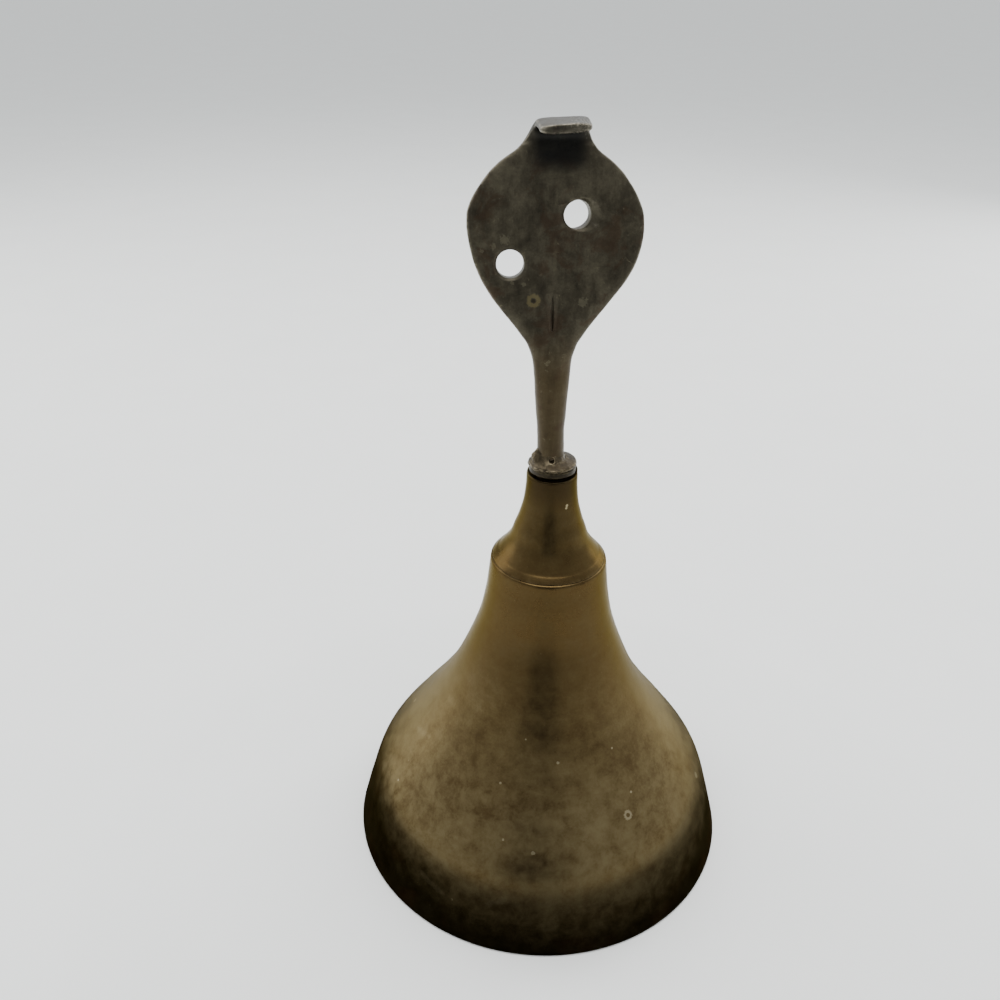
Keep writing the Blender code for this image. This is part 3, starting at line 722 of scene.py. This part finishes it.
def value_at(table, place):
    """Value at a place along a table of (place, value), on a smooth monotone curve."""
    if place <= table[0][0]:
        return table[0][1]
    if place >= table[-1][0]:
        return table[-1][1]
    index = next(i for i in range(1, len(table)) if place <= table[i][0])
    (start, low), (end, high) = table[index - 1:index + 1]
    t = (place - start) / (end - start)
    rise_in = slope_at(table, index - 1) * (end - start)
    rise_out = slope_at(table, index) * (end - start)
    return ((2 * t ** 3 - 3 * t ** 2 + 1) * low + (t ** 3 - 2 * t ** 2 + t) * rise_in
            + (3 * t ** 2 - 2 * t ** 3) * high + (t ** 3 - t ** 2) * rise_out)


def slope_at(table, index):
    """Slope of a table's curve at one of its entries, flat at its ends and where it turns round."""
    if index in (0, len(table) - 1):
        return 0.0
    (start, low), (here, value), (end, high) = table[index - 1:index + 2]
    left = (value - low) / (here - start)
    right = (high - value) / (end - here)
    return 2 * left * right / (left + right) if left * right > 0 else 0.0


def handle_centre(length):
    """Centre (y, z) and direction of the handle at a length above the shoulder."""
    lean = min(max((length - LEAN_START) / LEAN_RADIUS, 0.0), BACK_LEAN)
    arc_end = LEAN_START + LEAN_RADIUS * BACK_LEAN
    straight = min(max(length - arc_end, 0.0), BEND_START - arc_end)
    y = LEAN_RADIUS * (1 - cos(lean)) + straight * sin(BACK_LEAN)
    z = (min(length, LEAN_START) + LEAN_RADIUS * sin(lean) + straight * cos(BACK_LEAN))
    if length <= BEND_START:
        return y, z, lean
    full = BACK_LEAN + pi / 2
    turn = min((length - BEND_START) / BEND_RADIUS, full)
    direction = BACK_LEAN - turn
    y += BEND_RADIUS * (cos(direction) - cos(BACK_LEAN))
    y -= max(length - BEND_START - BEND_RADIUS * full, 0.0)
    z += BEND_RADIUS * (sin(BACK_LEAN) - sin(direction))
    return y, z, direction


def drawn_in(length, size):
    """How far the head's edge is drawn in by a quarter round of a size that finishes at its end."""
    share = min(max((length - HANDLE_LENGTH) / size + 1.0, 0.0), 1.0)
    return size * (1.0 - sqrt(1.0 - share ** 2))


def handle_ring(length):
    """One cross-section of the handle in millimetres, square to its centre line."""
    half_width = value_at(HOOD_WIDTHS, length) - drawn_in(length, HEAD_CORNER)
    half_thick = value_at(HOOD_THICKNESSES, length) - drawn_in(length, HEAD_EASE)
    power = 2.0 / value_at(HOOD_SQUARENESS, length)
    y, z, direction = handle_centre(length)
    dish = HOOD_DISH * min(half_width / 12.0, 1.0) ** 2 if length < BEND_START else 0.0
    roll = tan(HEAD_ROLL) * min(max((length - BEND_START) / HEAD_LENGTH, 0.0), 1.0)
    ring = []
    for step in range(HANDLE_ROUND):
        angle = tau * step / HANDLE_ROUND
        across = copysign(abs(cos(angle)) ** power, cos(angle))
        depth = half_thick * copysign(abs(sin(angle)) ** power, sin(angle))
        depth -= dish * across ** 2
        x = half_width * across
        ring.append(Vector((x + value_at(DRIFT, length), y + depth * cos(direction),
                            SHOULDER_Z + z - depth * sin(direction) + x * roll)))
    return ring


def skinned(name, rings, material, ring_closed=False):
    """A closed piece skinned over rings given in millimetres, capped by fans unless it closes round."""
    form = bmesh.new()
    loops = [[form.verts.new(point * MM) for point in ring] for ring in rings]
    if ring_closed:
        loops.append(loops[0])
    for low, high in zip(loops, loops[1:]):
        for i in range(len(low)):
            j = (i + 1) % len(low)
            form.faces.new((low[i], low[j], high[j], high[i]))
    for loop, turned_over in ((loops[0], True), (loops[-1], False)):
        if ring_closed:
            break
        hub = form.verts.new(sum((vertex.co for vertex in loop), Vector()) / len(loop))
        for i in range(len(loop)):
            j = (i + 1) % len(loop)
            form.faces.new((loop[j], loop[i], hub) if turned_over else (loop[i], loop[j], hub))
    bmesh.ops.recalc_face_normals(form, faces=form.faces)
    mesh = bpy.data.meshes.new(name)
    form.to_mesh(mesh)
    form.free()
    mesh.materials.append(material)
    mesh.shade_smooth()
    piece = bpy.data.objects.new(name, mesh)
    bpy.context.scene.collection.objects.link(piece)
    return piece


def worked(piece, kind, **settings):
    """The piece's mesh after one modifier, with a cutter given as object used up by it."""
    step = piece.modifiers.new("work", kind)
    for name, value in settings.items():
        setattr(step, name, value)
    bpy.context.view_layer.update()
    mesh = bpy.data.meshes.new_from_object(
        piece.evaluated_get(bpy.context.evaluated_depsgraph_get()))
    piece.modifiers.clear()
    piece.data = mesh
    if "object" in settings:
        bpy.data.objects.remove(settings["object"])


def hood_drill(x, z, tilt, material):
    """A drill of the hole's radius that opens a little at both faces, where the burr was taken off."""
    half = value_at(HOOD_THICKNESSES, z - SHOULDER_Z)
    flare = 0.12
    outline = [(0.0, 8.0), (HOLE_RADIUS + 8.0 - half, 8.0), (HOLE_RADIUS + flare * 0.6, half - 0.12),
               (HOLE_RADIUS, half - flare - 0.12), (HOLE_RADIUS, flare - half),
               (HOLE_RADIUS + flare * 0.6, 0.0 - half), (HOLE_RADIUS + 8.0 - half, -8.0), (0.0, -8.0)]
    drill = turned("hood_drill", [Vector(point) for point in outline], 72, material)
    y = handle_centre(z - SHOULDER_Z)[0]
    aim = Matrix.Rotation(radians(tilt), 4, "Z") @ Matrix.Rotation(radians(90) - BACK_LEAN, 4, "X")
    drill.data.transform(Matrix.Translation((x * MM, y * MM, z * MM)) @ aim)
    return drill


def graver_lens(material):
    """The long slim lens of metal that the graver took out at the hood's throat."""
    arc = [Vector((sin(pi * step / 24), cos(pi * step / 24))) for step in range(25)]
    lens = turned("graver_lens", arc, 24, material)
    length = GROOVE_Z - SHOULDER_Z
    y = handle_centre(length)[0] - value_at(HOOD_THICKNESSES, length)
    place = Matrix.Translation((value_at(DRIFT, length) * MM, y * MM, GROOVE_Z * MM))
    lens.data.transform(place @ Matrix.Rotation(-BACK_LEAN, 4, "X") @ Matrix.Diagonal((*GROOVE_SIZE, 1.0)))
    return lens


def handle_finish():
    """Forged brass gone grey-brown in the hand: olive clouds, a worn rim partly a painted highlight, old
    dents and specks, painted shadow under the head.
    """
    brass = Finish("forged_handle_brass")
    x, y, z = brass.x, brass.y, brass.z
    clouds = brass.grain(9.0, 5.0, 0.62, 0.7, shift=1.0)
    mottle = brass.grain(1.9, 6.0, 0.70, 0.4, shift=2.0)
    speckle = brass.grain(0.32, 3.0, 0.6, shift=3.0)
    drawn = brass.grain(1.1, 4.0, 0.65, where=brass.stretched((1.0, 1.0, 0.16)), shift=4.0)
    tone = clouds * 0.40 + mottle * 0.30 + speckle * 0.12 + drawn * 0.18
    hood = brass.ramp(tone, (0.36, (0.022, 0.018, 0.011)), (0.48, (0.048, 0.041, 0.026)),
                      (0.58, (0.078, 0.068, 0.044)), (0.70, (0.120, 0.107, 0.074)))
    shank = brass.ramp(tone, (0.36, (0.028, 0.018, 0.007)), (0.50, (0.052, 0.037, 0.016)),
                       (0.66, (0.086, 0.064, 0.032)))
    dust = brass.grain(2.2, 5.0, 0.7, 0.8, shift=6.0).between(0.60, 0.72)
    rust = brass.grain(5.0, 5.0, 0.65, 0.6, shift=9.0).between(0.52, 0.66)

    crease = x.near(-1.0, 0.55) * z.between(116, 121) * (1.0 - z.between(129, 133))
    crease = crease * drawn.between(0.38, 0.6)
    head = z.between(138, 140)
    chips = brass.grain(0.5, 3.0, 0.7, where=brass.stretched((1.0, 1.0, 0.25)), shift=8.0)
    chips = chips.between(0.60, 0.66) * head * x.between(-2, 1)
    # The worn rim is lightened partly as a painted highlight along the hood's edges.
    bare = brass.most(brass.attribute("wear") * mottle.between(0.34, 0.60) * 0.8, chips)
    ring = brass.ringed(RING_MARK, 1.2, 0.5, 0.3)
    dot = brass.knocks([(RING_MARK, 0.32)], 0.3)
    scratch = brass.scratches(0.14, 0.72, (0.2, 0.5, 0.9), 3.0)
    # Painted shadow: near black under the bent head.
    painted_head_shadow = z.between(133.4, 136.6) * (1.0 - z.between(141.2, 141.5)) * (0.75 + mottle * 0.4)
    painted_head_shadow = painted_head_shadow * (1.0 - brass.math("ABSOLUTE", x + 0.8).between(2.6, 5.6))
    painted_head_shadow = painted_head_shadow * (1.0 - y.between(3.8, 4.8)) * y.between(-4.6, -4.0)
    color = brass.layered(
        hood, (1.0 - z.between(100, 112), shank), (dust * 0.35, (0.24, 0.21, 0.13)),
        (rust * 0.55, (0.040, 0.021, 0.010)), (brass.knocks(HOOD_SPECKS, 1.3) * 0.35, (0.16, 0.145, 0.095)),
        (head * 0.5, (0.034, 0.031, 0.024)), (crease * 0.3, (0.12, 0.105, 0.065)),
        (bare, (0.25, 0.225, 0.175)), (scratch * 0.3, (0.20, 0.175, 0.115)),
        (ring * 0.6, (0.165, 0.135, 0.062)), (dot * 0.8, (0.020, 0.015, 0.008)),
        (painted_head_shadow * 0.98, (0.003, 0.003, 0.0025)))
    rough = 0.47 + (mottle - 0.5) * 0.35 + (clouds - 0.5) * 0.25 - bare * 0.12
    height = mottle * 0.9 + speckle * 0.35 + drawn * 0.5 - scratch * 0.6 - chips * 0.8 + ring * 0.5
    return brass.finish(Base_Color=color, Metallic=0.92, Roughness=rough,
                        Coat_Weight=0.10 + clouds * 0.16, Coat_Roughness=0.42,
                        Normal=brass.bump(height - crease * 0.4, 0.4, 0.06))


# A ring-shaped scar and pale specks on the hood: where each is, and a speck's size
RING_MARK = (-4.38, -0.37, 114.65)
HOOD_SPECKS = (((-9.2, 1.1, 124.2), 0.8), ((-6.0, 0.0, 117.3), 0.42), ((-7.9, 0.0, 117.5), 0.3),
               ((3.7, -0.5, 114.4), 0.8), ((-12.9, 0.7, 122.5), 0.36), ((-11.0, 0.9, 123.2), 0.5))

handle_brass = handle_finish()


def handle_rings():
    tang = [[Vector((TANG_RADIUS * cos(tau * step / HANDLE_ROUND),
                     TANG_RADIUS * sin(tau * step / HANDLE_ROUND), z))
             for step in range(HANDLE_ROUND)] for z in (TANG_END, SHOULDER_Z - 1.2, SHOULDER_Z)]
    lengths = [HANDLE_STEP * step for step in range(int((HANDLE_LENGTH - 1.3) / HANDLE_STEP))]
    lengths += [HANDLE_LENGTH - back for back in (1.25, 1.0, 0.75, 0.5, 0.32, 0.2, 0.1, 0.04, 0.0)]
    return tang + [handle_ring(length) for length in lengths]


def dent_handle(mesh):
    """Unevenness left by the hammer, and the nicks across the head's blunt end."""
    roughened(mesh, 5.5, 0.11, 2.0)
    roughened(mesh, 1.3, 0.025, 6.0)
    for vertex in mesh.vertices:
        if vertex.co.z < 138 * MM or vertex.co.y > -0.8 * MM:
            continue
        for x, depth in ((-2.4, 0.10), (-1.2, 0.13), (0.35, 0.15), (0.95, 0.16), (1.6, 0.12), (2.5, 0.08)):
            lean = (vertex.co.z - 140 * MM) * 0.15
            bite = max(1.0 - abs(vertex.co.x - lean - x * MM) / (0.2 * MM), 0.0)
            vertex.co.y += bite * depth * MM
            vertex.co.z -= bite * depth * 0.5 * MM


handle = skinned("cobra_handle_forged", handle_rings(), handle_brass)
for hole in HOLES:
    worked(handle, "BOOLEAN", object=hood_drill(*hole, handle_brass), solver="EXACT")
worked(handle, "BOOLEAN", object=graver_lens(handle_brass), solver="EXACT")
dent_handle(handle.data)
handle.data.shade_smooth()
mark_wear(handle.data, 0.30, 1.2)
for vertex, layer in zip(handle.data.vertices, handle.data.attributes["wear"].data):
    if any(hypot(vertex.co.x - x * MM, vertex.co.z - z * MM) < 1.5 * HOLE_RADIUS * MM
           for x, z, tilt in HOLES):
        layer.value *= 0.15
    if abs(vertex.co.z - GROOVE_Z * MM) < 5 * MM and abs(vertex.co.x + 1.2 * MM) < 1.5 * MM:
        layer.value = 0.0
settled(handle, "bell", "cobra_handle")

# ------------------------------------------------
# Inner washer and nut: mild steel, zinced once and now dull, holding the tang from inside. The
# nut is a plain hexagon, chamfered at both ends.
INNER_WASHER = (4.6, 2.1, 60.7, 61.7)                   # outer and inner radius, bottom, top
NUT_FLATS = 7.0
NUT_BOTTOM = 57.2
NUT_TOP = 60.4
NUT_CHAMFER = 0.45

washer_steel = old_metal("dull_washer_steel", (0.09, 0.075, 0.058), (0.17, 0.155, 0.13),
                         (0.26, 0.245, 0.22), (0.46, 0.45, 0.42), 1.2, 0.5)
nut_steel = old_metal("dull_nut_steel", (0.10, 0.078, 0.052), (0.19, 0.168, 0.135),
                      (0.29, 0.268, 0.23), (0.50, 0.48, 0.44), 1.1, 0.45)

inner_washer = turned("inner_washer_pressed", ring_outline(*INNER_WASHER, 0.18), 120, washer_steel,
                      0.02, 1.5, 6.0)
mark_wear(inner_washer.data)
settled(inner_washer, "bell", "inner_washer")


def hexagon_nut():
    """A blank turned with chamfered ends, cut down to six flats, then bored."""
    corner = NUT_FLATS / sqrt(3)
    outline = eased([(TANG_RADIUS, NUT_TOP), (corner - NUT_CHAMFER * 1.7, NUT_TOP),
                     (corner, NUT_TOP - NUT_CHAMFER), (corner, NUT_BOTTOM + NUT_CHAMFER),
                     (corner - NUT_CHAMFER * 1.7, NUT_BOTTOM), (TANG_RADIUS, NUT_BOTTOM)], 0.12, 3)
    nut = turned("tang_nut_hex", divided(outline, 0.4), 96, nut_steel)
    corners = [Vector((corner * cos(tau * (step + 0.5) / 6),
                       corner * sin(tau * (step + 0.5) / 6), 0.0)) for step in range(6)]
    bar = skinned("hexagon_bar", [[point + Vector((0, 0, z)) for point in corners] for z in (50, 70)],
                  nut_steel)
    worked(nut, "BOOLEAN", operation="INTERSECT", object=bar, solver="EXACT")
    worked(nut, "BEVEL", width=0.1 * MM, segments=3, limit_method="ANGLE", angle_limit=radians(28))
    nut.data.shade_smooth()
    nut.data.set_sharp_from_angle(angle=radians(35))
    return nut


nut = hexagon_nut()
mark_wear(nut.data, 0.4, 1.5)
settled(nut, "bell", "tang_nut")

# ------------------------------------------------
# Eye nut: cast brass, screwed up under the steel nut on the tang's end. Body and ring are one
# casting with a soft fillet between them; the link hangs in the ring.
EYE_TOP = 56.9
EYE_BODY_RADIUS = 3.4
EYE_FOOT = 53.0
EYE_Z = 50.6
EYE_RADIUS = 2.8
EYE_WIRE = 0.9

eye_brass = old_metal("cast_eye_brass", (0.10, 0.072, 0.030), (0.20, 0.155, 0.075),
                      (0.31, 0.25, 0.135), (0.58, 0.47, 0.25), 1.4, 0.42)


def wire_ring(name, radius, wire, facing, height, material, gap=0.0, gap_at=0.0):
    """A ring of round wire facing X or Y; a gap makes it a bent ring whose ends almost meet."""
    rings = []
    steps = 96
    for step in range(steps + (1 if gap else 0)):
        turn = gap_at + gap / 2 + (tau - gap) * step / steps
        ends = min(step, steps - step) * (tau - gap) * radius / steps if gap else wire
        girth = wire * sqrt(1 - max(1 - ends / (wire * 0.35), 0.0) ** 2 * 0.75)
        ring = []
        for around in [tau * point / 28 for point in range(28)]:
            out = radius + girth * cos(around)
            flat = (out * cos(turn), girth * sin(around), out * sin(turn) + height)
            ring.append(Vector(flat if facing == "Y" else (flat[1], flat[0], flat[2])))
        rings.append(ring)
    return skinned(name, rings, material, ring_closed=not gap)


body_outline = eased([(0.0, EYE_TOP), (EYE_BODY_RADIUS, EYE_TOP), (EYE_BODY_RADIUS, EYE_TOP - 2.7),
                      (1.6, EYE_FOOT), (0.0, EYE_FOOT)], 0.4)
eye = turned("eye_nut_cast", divided(body_outline[6:-6], 0.3), 96, eye_brass)
worked(eye, "BOOLEAN", operation="UNION", solver="EXACT",
       object=wire_ring("eye_form", EYE_RADIUS, EYE_WIRE, "Y", EYE_Z, eye_brass))
worked(eye, "REMESH", mode="VOXEL", voxel_size=0.13 * MM)
worked(eye, "SMOOTH", factor=0.5, iterations=6)
roughened(eye.data, 1.1, 0.05, 4.0)
eye.data.shade_smooth()
mark_wear(eye.data, 0.8, 2.2)
settled(eye, "bell", "eye_nut")

# ------------------------------------------------
# Hanging link: steel wire bent round into a ring and closed by pinching, so its ends nearly meet.
LINK_Z = 46.4
LINK_RADIUS = 3.3
LINK_WIRE = 0.7

link_steel = old_metal("rusted_link_steel", (0.045, 0.028, 0.018), (0.105, 0.078, 0.060),
                       (0.19, 0.165, 0.14), (0.42, 0.40, 0.37), 0.9, 0.5, relief=0.6)
link = wire_ring("hanging_link_bent", LINK_RADIUS, LINK_WIRE, "X", LINK_Z, link_steel,
                 gap=0.05, gap_at=radians(12))
roughened(link.data, 1.6, 0.03, 5.0)
mark_wear(link.data, 0.9, 2.4)
settled(link, "link", "hanging_link")

# ------------------------------------------------
# Clapper rod: soft iron wire, its upper end bent into an open eye round the link, its lower end
# hammered out into a rivet head that carries the ball.
ROD_WIRE = 1.0
ROD_EYE_Z = 42.4
ROD_EYE_RADIUS = 2.7
ROD_EYE_OPEN = radians(28)
BALL_Z = 11.5
BALL_RADIUS = 6.0
BALL_BORE = 1.05
PEEN_TOP = BALL_Z - 5.86
PEEN = ((0.0, 1.0), (-0.08, 1.7), (-0.35, 1.9), (-0.75, 1.75), (-1.0, 1.2), (-1.08, 0.5))

rod_iron = old_metal("black_rod_iron", (0.022, 0.017, 0.014), (0.052, 0.040, 0.032),
                     (0.110, 0.088, 0.070), (0.34, 0.31, 0.28), 1.3, 0.55, relief=0.6)


def rod_path():
    """Points (x, z, radius) along the rod, from the open end of its eye down to the rivet head."""
    start = -pi / 2 + ROD_EYE_OPEN
    bend = tau - ROD_EYE_OPEN
    eye_path = [(ROD_EYE_RADIUS * cos(start + bend * share),
                 ROD_EYE_Z + ROD_EYE_RADIUS * sin(start + bend * share))
                for share in [step / 60 for step in range(58)]]
    x, z = eye_path[-1]
    neck = smooth_line([eye_path[-2], (x, z), (x * 0.35, z - 1.2), (0.0, z - 3.0), (0.0, z - 6.0)], 6)
    points = [(*eye_path[0], 0.55), (*Vector(eye_path[0]).lerp(Vector(eye_path[1]), 0.3), 0.9)]
    points += [(px, pz, 1.0) for px, pz in eye_path[1:-2]] + [(point[0], point[1], 1.0) for point in neck]
    low = points[-1][1]
    points += [(0.0, low + (PEEN_TOP + 0.4 - low) * step / 40, 1.0) for step in range(1, 41)]
    return points + [(0.0, PEEN_TOP + drop, girth) for drop, girth in PEEN]


def rod_rings():
    path = rod_path()
    rings = []
    for index, (x, z, girth) in enumerate(path):
        before = path[max(index - 1, 0)]
        after = path[min(index + 1, len(path) - 1)]
        along = Vector((after[0] - before[0], 0.0, after[1] - before[1])).normalized()
        side = Vector((along.z, 0.0, -along.x))
        rings.append([Vector((x, 0.0, z)) + (side * cos(turn) + Vector((0, 1, 0)) * sin(turn))
                      * girth * ROD_WIRE for turn in [tau * point / 32 for point in range(32)]])
    return rings


rod = skinned("clapper_rod_forged", rod_rings(), rod_iron)
roughened(rod.data, 2.2, 0.05, 7.0)
mark_wear(rod.data, 0.7, 2.0)
settled(rod, "clapper", "clapper_rod")

# ------------------------------------------------
# Clapper ball: cast brass with a faint mould seam round it, bored for the rod, flattened and
# bright on the two sides that strike the bell.
ball_brass = old_metal("struck_ball_brass", (0.105, 0.075, 0.030), (0.21, 0.16, 0.075),
                       (0.33, 0.265, 0.14), (0.64, 0.52, 0.28), 2.4, 0.42, relief=0.5)


def ball_outline():
    """The ball's half section in millimetres, from the top of its bore round to the bottom and back."""
    half = asin((BALL_BORE + 0.15) / BALL_RADIUS)
    arc = [half + (pi - 2 * half) * step / 60 for step in range(61)]
    outline = [(BALL_RADIUS * sin(angle) + 0.07 * max(1 - abs(angle - pi / 2) / 0.03, 0.0),
                BALL_Z + BALL_RADIUS * cos(angle)) for angle in arc]
    outline += [(BALL_BORE, outline[-1][1] + 0.15), (BALL_BORE, outline[0][1] - 0.15)]
    return divided([Vector(point) for point in outline], 0.5)


ball = turned("clapper_ball_cast", ball_outline(), 128, ball_brass, 0.06, 3.0, 9.0)
mark_wear(ball.data, 0.6, 2.0)
for vertex, layer in zip(ball.data.vertices, ball.data.attributes["wear"].data):
    side = Vector((abs(vertex.co.x), vertex.co.y, vertex.co.z - BALL_Z * MM))
    struck = max(1.0 - (side - Vector((5.2, 0.0, -2.6)) * MM).length / (2.6 * MM), 0.0)
    layer.value = max(layer.value, min(struck * 1.6, 1.0))
    vertex.co.x -= copysign(min(struck, 0.6) * 0.2 * MM, vertex.co.x)
settled(ball, "clapper", "clapper_ball")

# ------------------------------------------------
# Studio: a wide pale floor, broad soft lights to both sides, behind and above, and nothing in
# front, which leaves the dark streak down the brass; painted dark on the neck and waist deepens it.
FLOOR = 8.0                                             # metres each way from the bell

floor_paint = Finish("pale_floor")
paper = floor_paint.grain(30.0, 4.0)
floor_paint.finish(Base_Color=floor_paint.mixed(paper, (0.89, 0.90, 0.88), (0.94, 0.95, 0.93)),
                   Roughness=0.8)


def card(name, place, corners, material):
    """A flat piece of the studio, its corners given in turn, measured from its place."""
    mesh = bpy.data.meshes.new(name)
    mesh.from_pydata(corners, [], [range(len(corners))])
    mesh.materials.append(material)
    sheet = bpy.data.objects.new(name, mesh)
    sheet.location = place
    bpy.context.scene.collection.objects.link(sheet)
    return sheet


around_bell = ((-FLOOR, -FLOOR, 0.0), (FLOOR, -FLOOR, 0.0), (FLOOR, FLOOR, 0.0), (-FLOOR, FLOOR, 0.0))
card("floor", (0.0, 0.0, 0.0), around_bell, floor_paint.material)


def soft_light(name, place, aim, size, power, color=(1.0, 1.0, 1.0)):
    """A square softbox at a place, turned to face a point, in metres and watts."""
    lamp = bpy.data.lights.new(name, "AREA")
    lamp.shape = "RECTANGLE"
    lamp.size, lamp.size_y = size
    lamp.energy = power
    lamp.color = color
    light = bpy.data.objects.new(name, lamp)
    away = (Vector(aim) - Vector(place)).normalized()
    light.matrix_world = Matrix.Translation(place) @ away.to_track_quat("-Z", "Y").to_matrix().to_4x4()
    bpy.context.scene.collection.objects.link(light)


BELL_MIDDLE = (0.0, 0.0, 0.06)
soft_light("left_box", (-0.48, 0.26, 0.30), BELL_MIDDLE, (0.30, 0.50), 1.2)
soft_light("right_box", (0.44, 0.34, 0.28), BELL_MIDDLE, (0.30, 0.50), 1.4)
soft_light("back_box", (0.0, 0.42, 0.55), BELL_MIDDLE, (0.80, 0.30), 1.6)
soft_light("top_box", (0.0, -0.05, 0.75), BELL_MIDDLE, (0.50, 0.50), 4.4)

# The room is white, a little darker on the side that the bell's front faces
world = bpy.data.worlds.new("studio")
bpy.context.scene.world = world
world.use_nodes = True
room = Sheet(world.node_tree)
toward = room.node("ShaderNodeTexCoord", output="Generated")
depth = room.split(toward)[1]
background = world.node_tree.nodes["Background"]
background.inputs["Color"].default_value = (0.93, 0.96, 0.98, 1.0)
world.node_tree.links.new((0.70 + depth.between(-0.85, 0.1) * 0.34).socket, background.inputs["Strength"])

# Seen only in the metal: a black flag in front, which draws the dark streak down the brass, and
# a dark mat round the foot, which darkens whatever faces level or down
FLAG_PLACE = (-0.040, -0.36, 0.08)
FLAG_SIZE = (0.24, 0.18)
MAT_RADIUS = 0.092
MAT_CORNERS = 64
MAT_PLACE = (0.0, -0.02, 0.3 * MM)
black = Finish("black_cloth")
black.finish(Base_Color=(0.010, 0.010, 0.010, 1.0), Roughness=1.0, Specular_IOR_Level=0.0)
across, up = (size / 2 for size in FLAG_SIZE)
flag_corners = ((-across, 0.0, -up), (across, 0.0, -up), (across, 0.0, up), (-across, 0.0, up))
flag = card("flag", FLAG_PLACE, flag_corners, black.material)
turns = [2 * pi * corner / MAT_CORNERS for corner in range(MAT_CORNERS)]
slate = Finish("slate_mat")
slate.finish(Base_Color=(0.034, 0.036, 0.035, 1.0), Roughness=0.9, Specular_IOR_Level=0.1)
mat = card("mat", MAT_PLACE, [(MAT_RADIUS * cos(turn), MAT_RADIUS * sin(turn), 0.0) for turn in turns],
           slate.material)
for cloth in (flag, mat):
    cloth.visible_camera = False
    cloth.visible_shadow = False
    cloth.visible_diffuse = False
